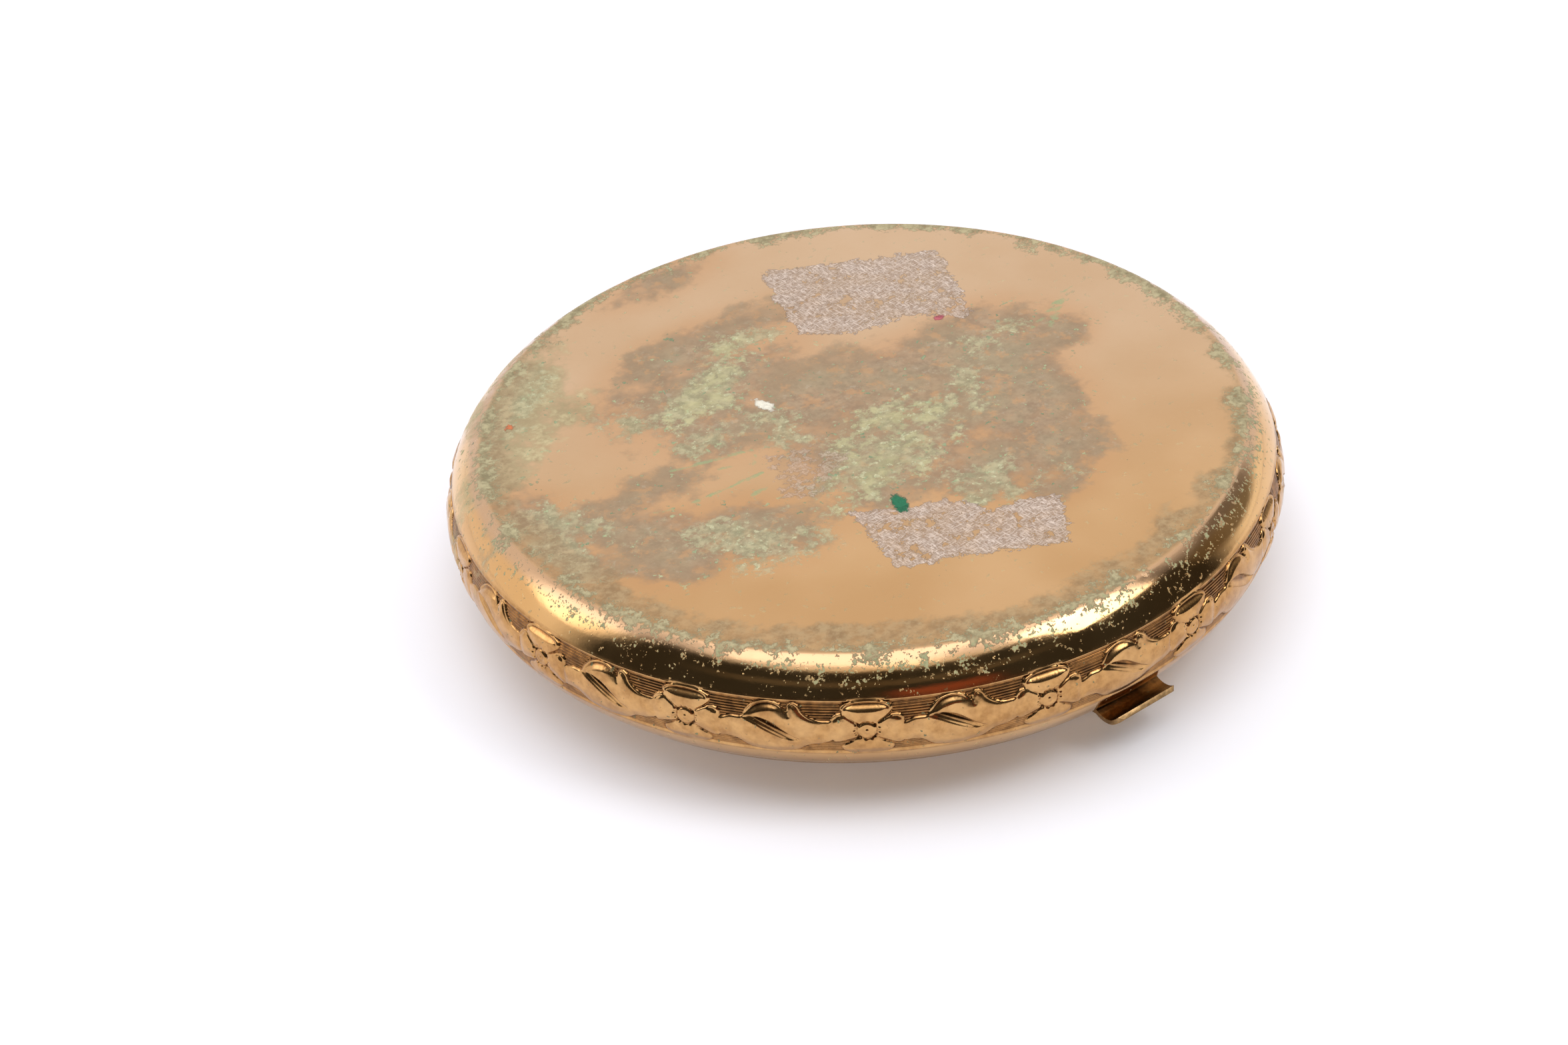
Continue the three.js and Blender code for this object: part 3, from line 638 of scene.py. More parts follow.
def thumb_catch():
    centre, outside = (-TROUGH_Y, TROUGH_Z), TROUGH_RADIUS + THUMB_SHEET
    under = math.degrees(math.acos((TROUGH_Z - SHELF_Z) / outside))
    section = [(-HOOK_Y, SHELF_Z), (-HOOK_Y, HOOK_TOP - 0.9), (-HOOK_Y + 0.3, HOOK_TOP - 0.65),
               (-HOOK_Y + 0.35, HOOK_TOP - 0.45), (-HOOK_Y + 0.3, HOOK_TOP - 0.25), (-HOOK_Y, HOOK_TOP),
               (-HOOK_Y - THUMB_SHEET, HOOK_TOP), (-HOOK_Y - THUMB_SHEET, SHELF_Z + THUMB_SHEET),
               *arc(centre, TROUGH_RADIUS, -90 + TROUGH_INNER, -90 - TROUGH_OUTER, 24),
               *arc(centre, outside, -90 - TROUGH_OUTER, -90 + under, 24)]
    strip = prism(section[::-1], -THUMB_HALF - 1, THUMB_HALF + 1, along="X")
    lip = TROUGH_Y + outside * math.sin(math.radians(TROUGH_OUTER))
    corner = 1.0
    left = [(-THUMB_HALF + corner - corner * math.sin(t), -lip + corner - corner * math.cos(t))
            for t in np.radians(np.linspace(90, 0, 9))]
    across = np.linspace(-THUMB_HALF + corner, THUMB_HALF - corner, 7)[1:-1]
    front = [(x, -lip - 0.06 * (1 - (x / THUMB_HALF) ** 2)) for x in across]
    right = [(-x, y) for x, y in reversed(left)]
    plan = [(-THUMB_HALF, -31), *left, *front, *right, (THUMB_HALF, -31)]
    combined(strip, "INTERSECT", prism(plan, 0, 9))
    return fitted(eased(strip, 0.07, 3), "thumb_catch", "lid", "aged_brass")


def knuckle(x0, x1, y, z, barrel, bore):
    soft = 0.08
    outline = [(bore, x0 + soft), (bore + soft, x0), (barrel - soft, x0), (barrel, x0 + soft),
               (barrel, x1 - soft), (barrel - soft, x1), (bore + soft, x1), (bore, x1 - soft)]
    return turned("knuckle", outline, 48, "X", (0, y, z))


def outer_knuckles(plate, split, half, arm_y, arm_z, hinge):
    """Joins a hinge's two outer knuckles to a plate, each by an arm."""
    for side in (-1, 1):
        ends = sorted((side * split, side * half))
        joined(plate, block(ends, arm_y, arm_z), knuckle(*ends, *hinge))


def pin(radius, half, y, z):
    head = [(radius * math.sin(math.radians(t)), half - radius * 0.5 * (1 - math.cos(math.radians(t))))
            for t in (90, 70, 50, 30, 15, 0)]
    outline = [(r, -x) for r, x in reversed(head)] + head
    return turned("pin", outline, 32, "X", (0, y, z))


def lid_hinge_leaf():
    z = (HINGE_Z - 0.85, HINGE_Z - 0.35)
    leaf = block((-HINGE_HALF, HINGE_HALF), (32.1, HINGE_Y - KNUCKLE - 0.2), z)
    outer_knuckles(leaf, SPLIT, HINGE_HALF, (HINGE_Y - KNUCKLE - 0.3, HINGE_Y - BORE - 0.1), z, HINGE)
    return fitted(eased(leaf, 0.05), "lid_hinge_leaf", "lid", "aged_brass")


def base_hinge_leaf():
    half = SPLIT - SPLIT_GAP
    leaf = block((-HINGE_HALF, HINGE_HALF), (33.9, 34.4), (RIM_Z + 0.15, RIM_Z + 4))
    arm = block((-half, half), (33.9, HINGE_Y - BORE - 0.1), (HINGE_Z + 0.25, HINGE_Z + 0.7))
    joined(leaf, arm, knuckle(-half, half, *HINGE))
    return fitted(eased(leaf, 0.05), "base_hinge_leaf", "base", "aged_brass")


def hinge_pins():
    case = pin(PIN, HINGE_HALF + 0.15, HINGE_Y, HINGE_Z)
    inner = pin(DOOR_PIN, DOOR_HINGE_HALF, DOOR_HINGE_Y, DOOR_HINGE_Z)
    return (fitted(case, "hinge_pin", "lid", "pin_steel"),
            fitted(inner, "door_hinge_pin", "base", "pin_steel"))


# ---------------------------------------------------------------- the base half


TRAY_INNER, TRAY_WALL, FLANGE_OUTER, FLANGE_Z, FLANGE, TRAY_FLOOR_Z = 29, 0.6, 34.6, 4.6, 0.5, 13.9
FLANGE_TOP = FLANGE_Z + FLANGE
DOOR_RADIUS, DOOR_LOW, DOOR_SHEET = 28.6, 4.75, 0.5
DOOR_HINGE_Y, DOOR_HINGE_Z, DOOR_HINGE_HALF = 29.8, 4.45, 4.6
DOOR_KNUCKLE, DOOR_BORE, DOOR_PIN, DOOR_SPLIT = 0.6, 0.34, 0.27, 1.8
DOOR_HINGE = (DOOR_HINGE_Y, DOOR_HINGE_Z, DOOR_KNUCKLE, DOOR_BORE)
DOOR_NOTCH_HALF = 5.1
TONGUE_HALF = 2.2
TRAY_BEAD = 31.2  # radii of the decoration
DOOR_RINGS, DOOR_RING_PITCH, DOOR_BEAD = (9, 24.2), 1.1, 25.6


def powder_tray():
    flat = [(r, FLANGE_Z + (0.09 * ridge(r - TRAY_BEAD, 0.18) if abs(r - TRAY_BEAD) < 0.8 else 0))
            for r in np.linspace(TRAY_INNER + 0.4, FLANGE_OUTER - 0.15, 40)]
    outline = [(0, TRAY_FLOOR_Z), (TRAY_INNER - 0.6, TRAY_FLOOR_Z),
               *arc((TRAY_INNER - 0.6, TRAY_FLOOR_Z - 0.6), 0.6, 80, 0, 6),
               (TRAY_INNER, FLANGE_Z + 0.3), *arc((TRAY_INNER + 0.3, FLANGE_Z + 0.3), 0.3, 180, 270, 6),
               *flat, (FLANGE_OUTER, FLANGE_Z + 0.12), (FLANGE_OUTER, FLANGE_TOP - 0.1),
               (FLANGE_OUTER - 0.1, FLANGE_TOP), (TRAY_INNER + TRAY_WALL, FLANGE_TOP),
               (TRAY_INNER + TRAY_WALL, TRAY_FLOOR_Z + TRAY_WALL), (0, TRAY_FLOOR_Z + TRAY_WALL)]
    tray = turned("tray", outline)
    hook = block((-THUMB_HALF - 0.35, THUMB_HALF + 0.35), (-BEYOND, -HOOK_Y + 0.65), (3, FLANGE_TOP + 1))
    door = block((-DOOR_NOTCH_HALF, DOOR_NOTCH_HALF), (28.1, 30.7), (3, FLANGE_TOP + 0.55))
    hinge = block((-HINGE_SLOT, HINGE_SLOT), (33.75, BEYOND), (3, FLANGE_TOP + 1))
    return fitted(cut(tray, hook, door, hinge), "powder_tray", "base", "gilt", 30)


def powder_door():
    low, high, radius = DOOR_LOW, DOOR_LOW + DOOR_SHEET, DOOR_RADIUS
    under = [(0, low)]
    for r in np.linspace(0.6, radius - 0.6, 90):
        rings = 0.035 * (1 - math.cos(TAU * r / DOOR_RING_PITCH)) if DOOR_RINGS[0] < r < DOOR_RINGS[1] else 0
        bead = -0.07 * ridge(r - DOOR_BEAD, 0.35)
        under.append((r, low + rings + 0.07 + bead))
    outline = under + [*arc((radius - 0.2, low + 0.2), 0.2, -90, 0, 4), (radius, high - 0.08),
                       (radius - 0.08, high), (0, high)]
    panel = turned("door", outline)
    cut(panel, block((-DOOR_NOTCH_HALF, DOOR_NOTCH_HALF), (28.0, radius + 1), (low - 1, high + 1)))
    half = DOOR_SPLIT - SPLIT_GAP
    neck = block((-half, half), (radius - 2, DOOR_HINGE_Y - DOOR_BORE - 0.08), (low, low + 0.3))
    left = [(-TONGUE_HALF, -radius + 2), (-TONGUE_HALF, -radius - 1), (-1.6, -radius - 1.6)]
    right = [(-x, y) for x, y in reversed(left)]
    tongue = prism(left + right, low - 0.5, low - 0.2)
    riser = block((-TONGUE_HALF, TONGUE_HALF), (-radius + 0.9, -radius + 2), (low - 0.45, low + 0.2))
    joined(panel, neck, tongue, riser, knuckle(-half, half, *DOOR_HINGE))
    return fitted(panel, "powder_door", "door", "gilt", 30)


def door_hinge_bracket():
    low = FLANGE_TOP + 0.06
    plate = block((-DOOR_HINGE_HALF, DOOR_HINGE_HALF), (29.9, 33.1), (low, low + 0.35))
    arm_z = (DOOR_HINGE_Z + DOOR_BORE + 0.05, low + 0.2)
    outer_knuckles(plate, DOOR_SPLIT, DOOR_HINGE_HALF, (29.9, 30.35), arm_z, DOOR_HINGE)
    return fitted(eased(plate, 0.04), "door_hinge_bracket", "base", "aged_brass")


LEAF_HALF, LEAF_Y, LEAF_SHEET, LEAF_TOP, FOOT_Y = 3, 31.3, 0.3, 8.2, 29.75
RIVET_X, RIVET_RADIUS, RIVET_HEAD = 1.9, 0.45, 0.3


def catch_spring():
    low = FLANGE_TOP + 0.06
    foot_top = low + LEAF_SHEET
    outer = -LEAF_Y - LEAF_SHEET
    section = [(-LEAF_Y + 0.4, low), (-LEAF_Y + 0.4, foot_top), (-LEAF_Y + 0.1, foot_top + 0.03),
               (-LEAF_Y, foot_top + 0.15), (-LEAF_Y, LEAF_TOP - 0.1), (-LEAF_Y - 0.1, LEAF_TOP),
               (outer + 0.1, LEAF_TOP), (outer, LEAF_TOP - 0.1), (outer, 6.45), (outer - 0.12, 6.4),
               (outer - 0.32, 6.2), (outer - 0.35, 6.1), (outer - 0.32, 6.0), (outer - 0.12, 5.8),
               (outer, 5.75), (outer, low)]
    leaf = eased(prism(section, -LEAF_HALF, LEAF_HALF, along="X"), 0.03)
    fitted(leaf, "catch_leaf", "base", "aged_brass")
    foot = eased(block((-LEAF_HALF, LEAF_HALF), (-LEAF_Y + 0.5, -FOOT_Y), (low, foot_top)), 0.05)
    fitted(foot, "catch_bracket", "base", "aged_brass")
    rivets = []
    for side, x in (("left", -RIVET_X), ("right", RIVET_X)):
        places = {f"catch_rivet_{side}": (-(FOOT_Y + LEAF_Y - 0.5) / 2, foot_top + 0.06),
                  f"door_hinge_rivet_{side}": (31.9, low + 0.35 + 0.06)}
        for node, (y, z) in places.items():
            head = [(RIVET_RADIUS * math.cos(math.radians(t)), RIVET_HEAD * math.sin(math.radians(t)))
                    for t in (0, 20, 40, 60, 75, 90)]
            rivet = turned(node, [(0, 0), *head[:-1], (0, RIVET_HEAD)], 24, "Z", (x, y, z))
            rivets.append(fitted(rivet, node, "base", "gilt"))
    return leaf, foot, rivets


def face_powder():
    low, high = node_box("face_powder")
    generator = np.random.default_rng(4)
    count, radius = 160, high.x
    outline_r = np.linspace(0.9, radius - 0.5, 60)
    turn = TAU * np.arange(count) / count
    vertices, starts = [(0, 0, low.z + 0.1)], [(0, 1)]
    for r in outline_r:
        starts.append((len(vertices), count))
        rough = 0.16 + 0.14 * np.sin(3 * turn + 0.4 * r) * np.sin(0.37 * r)
        rough += generator.uniform(-0.05, 0.05, count)
        vertices.extend(circle(r, turn, low.z + rough))
    for r, z in ((radius, low.z + 0.5), (radius, high.z - 0.2), (radius - 0.3, high.z)):
        starts.append((len(vertices), count))
        vertices.extend(circle(r, turn, z))
    starts.append((len(vertices), 1))
    vertices.append((0, 0, high.z))
    faces = []
    for ring, after in zip(starts, starts[1:]):
        faces += ring_faces(*ring, *after)
    return fitted(raw("powder", vertices, faces), "face_powder", "base", "powder")


def sifter():
    low, high = node_box("sifter_ring")
    inner, outer = 26, high.x
    outline = [*arc((inner + 0.3, low.z + 0.3), 0.3, 180, 270, 6),
               *arc((outer - 0.15, low.z + 0.15), 0.15, -90, 0, 4), (outer, high.z - 0.1),
               (outer - 0.1, high.z), (inner + 0.1, high.z), (inner, high.z - 0.1)]
    ring = fitted(turned("sifter", outline), "sifter_ring", "base", "gilt")
    low, high = node_box("sifter_gauze")
    sag = 0.1
    radii = np.linspace(0.5, high.x, 40)
    under = [(0, low.z + sag), *[(r, low.z + sag * (1 - (r / high.x) ** 2)) for r in radii]]
    over = [(r, z + 0.05) for r, z in reversed(under)]
    gauze = fitted(turned("gauze", under + over), "sifter_gauze", "base", "gauze")
    return ring, gauze


# ---------------------------------------------------------------- the puff


SIM_SCALE = 10  # the cloth is simulated larger, because Blender's cloth is set up for larger things
PUFF_VOXEL = 1.1
PUFF_START = 0.6  # how much smaller the puff starts, because it swells
PUFF_STEPS = 15
PUFF_PRESSURE, PUFF_GROWTH, PUFF_STIFFNESS, PUFF_BENDING = 0.25, -0.05, 80, 5


def puff():
    low, high = node_box("puff")
    radius = high.x - PUFF_START
    middle, half = (low.z + high.z) / 2, (high.z - low.z) / 2 - PUFF_START * 0.8
    profile = [(0, middle - half)]
    profile += [(radius * t, middle - half * (1 - t**5) ** 0.5) for t in np.linspace(0.05, 0.99, 28)]
    profile += [(radius * t, middle + half * (1 - t**5) ** 0.5) for t in np.linspace(0.99, 0.05, 28)]
    profile.append((0, middle + half))
    pad = turned("puff", profile, 160)
    for vertex in pad.data.vertices:
        vertex.co = Vector((vertex.co.x, vertex.co.y, vertex.co.z - middle * M_PER_MM)) * SIM_SCALE
    modified(pad, "REMESH", mode="VOXEL", voxel_size=PUFF_VOXEL * M_PER_MM * SIM_SCALE)
    cloth = pad.modifiers.new("cloth", "CLOTH")
    cloth.settings.use_pressure = True
    cloth.settings.uniform_pressure_force = PUFF_PRESSURE
    cloth.settings.shrink_min = PUFF_GROWTH
    cloth.settings.tension_stiffness = PUFF_STIFFNESS
    cloth.settings.compression_stiffness = PUFF_STIFFNESS
    cloth.settings.bending_stiffness = PUFF_BENDING
    cloth.settings.effector_weights.gravity = 0
    scene = bpy.context.scene
    for step in range(1, PUFF_STEPS + 1):
        scene.frame_set(step)
    graph = bpy.context.evaluated_depsgraph_get()
    swollen = bpy.data.meshes.new_from_object(pad.evaluated_get(graph))
    pad.modifiers.clear()
    pad.data = swollen
    scene.frame_set(1)
    settled = np.array([v.co for v in pad.data.vertices]) / SIM_SCALE
    settled[:, 2] += middle * M_PER_MM
    pad.data.vertices.foreach_set("co", settled.ravel())
    modified(pad, "SUBSURF", levels=1, render_levels=1)
    seam_and_nap(pad, high.x, low.z, high.z)
    fitted(pad, "puff", "pad", "velour", 80)
    return pad


def seam_and_nap(pad, radius, low, high):
    """Pinches the puff along its sewn edge, ruffles its nap, and keeps it inside its place."""
    at = np.array([v.co for v in pad.data.vertices]) / M_PER_MM
    x, y, z = at.T
    r = np.hypot(x, y)
    turn = np.arctan2(y, x)
    middle = (low + high) / 2
    near_edge = smoothstep(r, radius - 3.5, radius - 0.4)
    seam = ridge(z - middle, 0.35) * near_edge
    pucker = 0.5 + 0.5 * np.sin(54 * turn)
    nap = np.sin(9.1 * x + 3 * np.sin(2.3 * y)) * np.sin(8.3 * y + 3 * np.sin(2.7 * x)) * 0.035
    scale = 1 - seam * (0.018 + 0.008 * pucker)
    z = middle + (z - middle) * (1 - 0.12 * near_edge * pucker) + nap * np.sign(z - middle)
    scale = scale * np.minimum(1, radius / np.maximum(r * scale, 1e-6))
    z = np.clip(z, low, high)
    at = np.stack([x * scale, y * scale, z], axis=1) * M_PER_MM
    pad.data.vertices.foreach_set("co", at.ravel())
    pad.data.update()


def puff_ribbon():
    low, high = node_box("puff_ribbon")
    half, width, sheet = high.x, high.y, high.z - low.z
    across = np.linspace(-width, width, 25)
    along = np.linspace(-half, half, 121)
    vertices = []
    for level in (0, 1):
        for x in along:
            wave = 0.5 + 0.5 * math.cos(math.pi * x / half)
            for y in across:
                hem = 0.05 * ridge(abs(y) - width + 0.35, 0.2)
                crinkle = 0.02 * math.sin(2.1 * x + 1.3 * math.sin(0.9 * y)) * wave
                base = low.z + 0.05 + crinkle - (hem if level == 0 else 0)
                narrow = 1 - 0.08 * wave
                vertices.append((x, y * narrow, base + level * (sheet - 0.07)))
    rows, columns = len(along), len(across)
    faces = []
    for i in range(rows - 1):
        for j in range(columns - 1):
            a, b = i * columns + j, (i + 1) * columns + j
            faces.append((a, a + 1, b + 1, b))
            c = rows * columns
            faces.append((c + a, c + b, c + b + 1, c + a + 1))
    edge = [(i, 0) for i in range(rows)] + [(rows - 1, j) for j in range(1, columns)]
    edge += [(i, columns - 1) for i in range(rows - 2, -1, -1)] + [(0, j) for j in range(columns - 2, 0, -1)]
    for (i, j), (k, m) in zip(edge, edge[1:] + edge[:1]):
        a, b, c = i * columns + j, k * columns + m, rows * columns
        faces.append((a, b, c + b, c + a))
    return fitted(raw("ribbon", vertices, faces), "puff_ribbon", "pad", "satin", 50)


# ---------------------------------------------------------------- materials


class Nodes:
    """Short names for the nodes of one tree, with the kind of coordinates its patterns use."""

    def __init__(self, tree, place):
        self.tree = tree
        self.place = self.node("ShaderNodeTexCoord").outputs[place]

    def node(self, kind, inputs=(), **settings):
        made = self.tree.nodes.new(kind)
        for key, value in settings.items():
            setattr(made, key, value)
        for key, value in dict(inputs).items():
            self.feed(made.inputs[key], value)
        return made

    def feed(self, socket, value):
        if isinstance(value, bpy.types.NodeSocket):
            self.tree.links.new(value, socket)
        else:
            socket.default_value = value

    def math(self, operation, *values):
        return self.node("ShaderNodeMath", enumerate(values), operation=operation).outputs[0]

    def plus(self, a, b):
        return self.math("ADD", a, b)

    def times(self, a, b):
        return self.math("MULTIPLY", a, b)

    def inverse(self, value):
        return self.math("SUBTRACT", 1.0, value)

    def most(self, *values):
        total = values[0]
        for value in values[1:]:
            total = self.math("MAXIMUM", total, value)
        return total

    def field(self, name):
        return self.node("ShaderNodeAttribute", attribute_name=name).outputs["Fac"]

    def noise(self, size_mm, detail=4.0, rough=0.55, stretch=(1, 1, 1), seed=0.0):
        """Noise from about 0 to 1 whose features are size_mm across."""
        scale = [s / (size_mm * M_PER_MM) for s in stretch]
        location = (seed, seed * 0.7, seed * 0.3)
        shift = self.node("ShaderNodeMapping", {"Vector": self.place, "Location": location, "Scale": scale})
        inputs = {"Vector": shift.outputs[0], "Scale": 1, "Detail": detail, "Roughness": rough}
        return self.node("ShaderNodeTexNoise", inputs).outputs["Fac"]

    def grit(self, size_mm, detail=4.0, seed=0.0, stretch=(1, 1, 1)):
        """Noise with its contrast raised, so that it fills the range from 0 to 1."""
        return self.smooth(self.noise(size_mm, detail, 0.62, stretch, seed), 0.34, 0.66)

    def smooth(self, value, low, high):
        """0 at low, 1 at high, and eased between them."""
        inputs = enumerate((value, low, high))
        return self.node("ShaderNodeMapRange", inputs, interpolation_type="SMOOTHSTEP").outputs[0]

    def mask(self, field, *roughening, soft=0.3):
        """1 where a field of millimetres, shifted by (noise, amplitude) pairs, is positive."""
        value = field
        for noise, amplitude in roughening:
            value = self.plus(value, self.times(self.math("SUBTRACT", noise, 0.5), amplitude))
        return self.smooth(value, -soft, soft)

    def colour(self, factor, a, b):
        return self.node("ShaderNodeMix", {0: factor, 6: a, 7: b}, data_type="RGBA").outputs[2]

    def tones(self, factor, a, b):
        """A mix of two colours given as 0 to 255 levels."""
        return self.colour(factor, srgb(*a), srgb(*b))

    def tint(self, colour, mask, amount, levels):
        """The colour with some of another, given as 0 to 255 levels, laid over it where the mask is 1."""
        return self.colour(self.times(mask, amount), colour, srgb(*levels))

    def over(self, colour, amount, light, dark, pattern):
        """The colour with two tones laid over it, light where the pattern is 1 and dark where it is 0."""
        return self.colour(amount, colour, self.tones(pattern, dark, light))

    def value(self, factor, a, b):
        return self.node("ShaderNodeMix", {0: factor, 2: a, 3: b}, data_type="FLOAT").outputs[0]

    def bump(self, height, distance_mm, strength=1.0, normal=None):
        inputs = {"Strength": strength, "Distance": distance_mm * M_PER_MM, "Height": height}
        if normal:
            inputs["Normal"] = normal
        return self.node("ShaderNodeBump", inputs).outputs[0]


class Shader(Nodes):
    """A material with one Principled shader."""

    def __init__(self, name):
        self.material = bpy.data.materials.new(name)
        self.material.use_nodes = True
        super().__init__(self.material.node_tree, "Object")
        self.shader = self.tree.nodes["Principled BSDF"]

    def finish(self, pieces, **inputs):
        for key, value in inputs.items():
            self.feed(self.shader.inputs[key.replace("_", " ")], value)
        for piece in pieces:
            piece.data.materials.clear()
            piece.data.materials.append(self.material)


def srgb(*levels):
    """A colour from its 0 to 255 levels."""
    linear = [(v / 255 / 12.92) if v <= 10 else (((v / 255) + 0.055) / 1.055) ** 2.4 for v in levels]
    return (*linear, 1.0)


# The back's gold in two copies, a darker, more orange one near the camera and a paler one away from it: a
# painted reflection
GOLD_NEAR_SHADED = [(202, 162, 115), (190, 148, 99)]
GOLD_FAR_LIT = [(203, 171, 136), (197, 163, 126)]
GOLD_EDGE = [(226, 184, 128), (210, 162, 104)]
CHIP_TINTS = {"emerald": (34, 110, 76), "white": (232, 226, 208),
              "pink": (184, 96, 104), "orange": (214, 122, 78)}


def tarnished_brass(piece):
    """Gilt brass: satin with stains, verdigris and torn paper on the back, polished on the edge."""
    s = Shader("tarnished_brass")
    cloud = s.noise(14, 2, 0.5)
    broad = s.grit(6, 3, seed=1)
    medium = s.grit(2.4, 5, seed=3)
    fine = s.grit(0.8, 6, seed=7)
    grain = s.grit(0.3, 4, seed=11)
    wall = s.field("wall")
    band = s.field("band")

    clouded = s.smooth(cloud, 0.3, 0.7)
    # Painted reflection: the back goes from the darker copy near the camera to the paler copy away from it
    back = s.colour(s.field("far"), s.tones(clouded, *GOLD_NEAR_SHADED), s.tones(clouded, *GOLD_FAR_LIT))
    edge = s.tones(clouded, *GOLD_EDGE)
    colour = s.colour(wall, back, edge)
    # Stamped band: brown patina with painted shade in its hollows, and a dull brown film over parts of it,
    # which also paints the shade of the shadowed floor that the band reflects
    deep = s.smooth(s.field("relief"), -0.06, -0.17)
    colour = s.over(colour, s.times(band, s.value(medium, 0.45, 0.8)), (190, 142, 86), (152, 106, 60), fine)
    colour = s.over(colour, s.times(deep, 0.85), (140, 92, 48), (78, 48, 28), fine)
    # Stains, with a darker margin
    brown_field = s.field("brown")
    colour = s.colour(s.times(s.smooth(brown_field, -3.5, 0.5), 0.45), colour, srgb(192, 142, 96))
    brown = s.mask(brown_field, (broad, 1.9), (medium, 1.1), (fine, 0.6), soft=1.3)
    margin = s.times(brown, s.smooth(brown_field, 2.8, 0.2))
    colour = s.over(colour, s.times(brown, s.value(medium, 0.7, 0.92)), (164, 142, 114), (138, 116, 92), fine)
    colour = s.colour(s.times(s.times(brown, broad), 0.45), colour, srgb(152, 143, 112))
    colour = s.tint(colour, margin, 0.35, (154, 116, 84))
    rust = s.times(brown, s.smooth(s.noise(1.7, 5, 0.68, seed=19), 0.53, 0.63))
    colour = s.tint(colour, rust, 0.45, (196, 148, 100))
    bloom = s.times(brown, s.smooth(s.noise(1.1, 5, 0.7, seed=27), 0.58, 0.68))
    colour = s.tint(colour, bloom, 0.3, (188, 176, 154))
    olive = s.mask(s.field("olive"), (broad, 1.8), (medium, 1.5), (fine, 0.7), soft=1.2)
    colour = s.over(colour, s.times(olive, 0.75), (198, 188, 144), (146, 134, 96), s.times(fine, medium))
    # Verdigris: a film, then a crust in grains
    green = s.mask(s.field("green"), (medium, 2.4), (fine, 1.6), (grain, 0.6), soft=0.9)
    amount = s.times(green, s.value(medium, 0.35, 0.8))
    colour = s.over(colour, amount, (182, 174, 136), (142, 138, 104), fine)
    bright = s.mask(s.field("bright"), (medium, 3.0), (fine, 2.2), (grain, 0.8), soft=0.9)
    patchy = s.smooth(s.noise(1.5, 4, 0.6, seed=41), 0.42, 0.6)
    amount = s.times(bright, s.value(patchy, 0.1, 0.6))
    colour = s.over(colour, amount, (192, 184, 136), (150, 148, 106), medium)
    pale = s.times(green, s.smooth(s.noise(0.7, 4, 0.62, seed=37), 0.58, 0.62))
    colour = s.over(colour, s.times(pale, 0.75), (210, 204, 164), (172, 172, 134), grain)
    near_stain = s.most(s.smooth(brown_field, -3.5, 1.0), s.smooth(s.field("olive"), -3.5, 0.5))
    sparse = s.value(near_stain, 0.3, 1.0)
    spotted = s.smooth(s.noise(0.75, 3, 0.6, seed=23), 0.645, 0.68)
    freckles = s.times(spotted, s.times(sparse, s.inverse(band)))
    colour = s.over(colour, s.times(freckles, 0.75), (180, 188, 142), (92, 132, 98), medium)
    # A dull film and a crust in the crease, and flecks of crust on the edge
    film = s.mask(s.field("film"), (broad, 1.2), (medium, 1.1), (fine, 0.5), soft=0.7)
    film = s.times(film, s.inverse(wall))
    colour = s.over(colour, s.times(film, s.value(medium, 0.45, 0.85)), (176, 152, 114), (144, 118, 84), fine)
    rim = s.field("rim")
    # Painted shade: the polished strip on the shoulder is tinted a duller, pinker gold, which dims the
    # overhead lamp's reflection in it
    colour = s.tint(colour, rim, 0.85, (192, 156, 122))
    crease = s.mask(s.field("crease"), (broad, 1.3), (medium, 1.2), (fine, 1.3), (grain, 1.1), soft=0.3)
    colour = s.over(colour, s.times(crease, 0.8), (176, 167, 128), (124, 116, 82), fine)
    shoulder = s.mask(s.field("shoulder"), (medium, 1.0), (fine, 1.7), (grain, 1.7), soft=0.12)
    colour = s.over(colour, s.times(shoulder, 0.9), (164, 164, 122), (110, 120, 84), fine)
    sides = s.times(wall, s.value(band, 0.7, 1.0))
    flecks = s.times(s.smooth(s.noise(0.6, 4, 0.6, seed=31), 0.67, 0.7), sides)
    colour = s.over(colour, s.times(flecks, 0.85), (150, 160, 120), (76, 100, 74), medium)
    crust = s.most(s.times(green, 0.7), pale, crease, shoulder, freckles, flecks)
    # Torn paper label
    label = s.mask(s.field("label"), (medium, 0.35), (fine, 0.75), soft=0.1)
    trace = s.mask(s.field("trace"), (medium, 0.7), (fine, 0.9), soft=0.2)
    fibre = s.most(s.grit(0.2, 4, seed=5, stretch=(0.3, 1.2, 1)),
                   s.grit(0.2, 4, seed=6, stretch=(1.2, 0.3, 1)))
    torn = s.smooth(s.plus(fine, s.times(medium, 0.6)), 0.24, 0.42)
    paper = s.most(s.times(label, torn), s.times(s.times(trace, 0.5), s.smooth(fine, 0.45, 0.6)))
    colour = s.colour(s.times(s.most(label, trace), 0.35), colour, srgb(170, 138, 106))
    pulp = s.tones(s.math("POWER", fibre, 1.6), (158, 132, 112), (214, 196, 182))
    colour = s.colour(s.times(paper, s.value(medium, 0.65, 0.95)), colour, pulp)
    # Specks of old paint, and scratches
    chips = 0.0
    for name, tint in CHIP_TINTS.items():
        chip = s.mask(s.field(name), (fine, 0.25), (grain, 0.15), soft=0.12)
        darker = [0.6 * level for level in tint]
        colour = s.colour(chip, colour, s.tones(s.times(grain, 0.25), tint, darker))
        chips = s.most(chips, chip)
    scratch = s.times(s.mask(s.field("scratch"), (fine, 0.2), soft=0.1), s.value(medium, 0.5, 1.0))
    colour = s.tint(colour, scratch, 0.8, (146, 164, 118))
    crust = s.most(crust, s.times(scratch, 0.5))
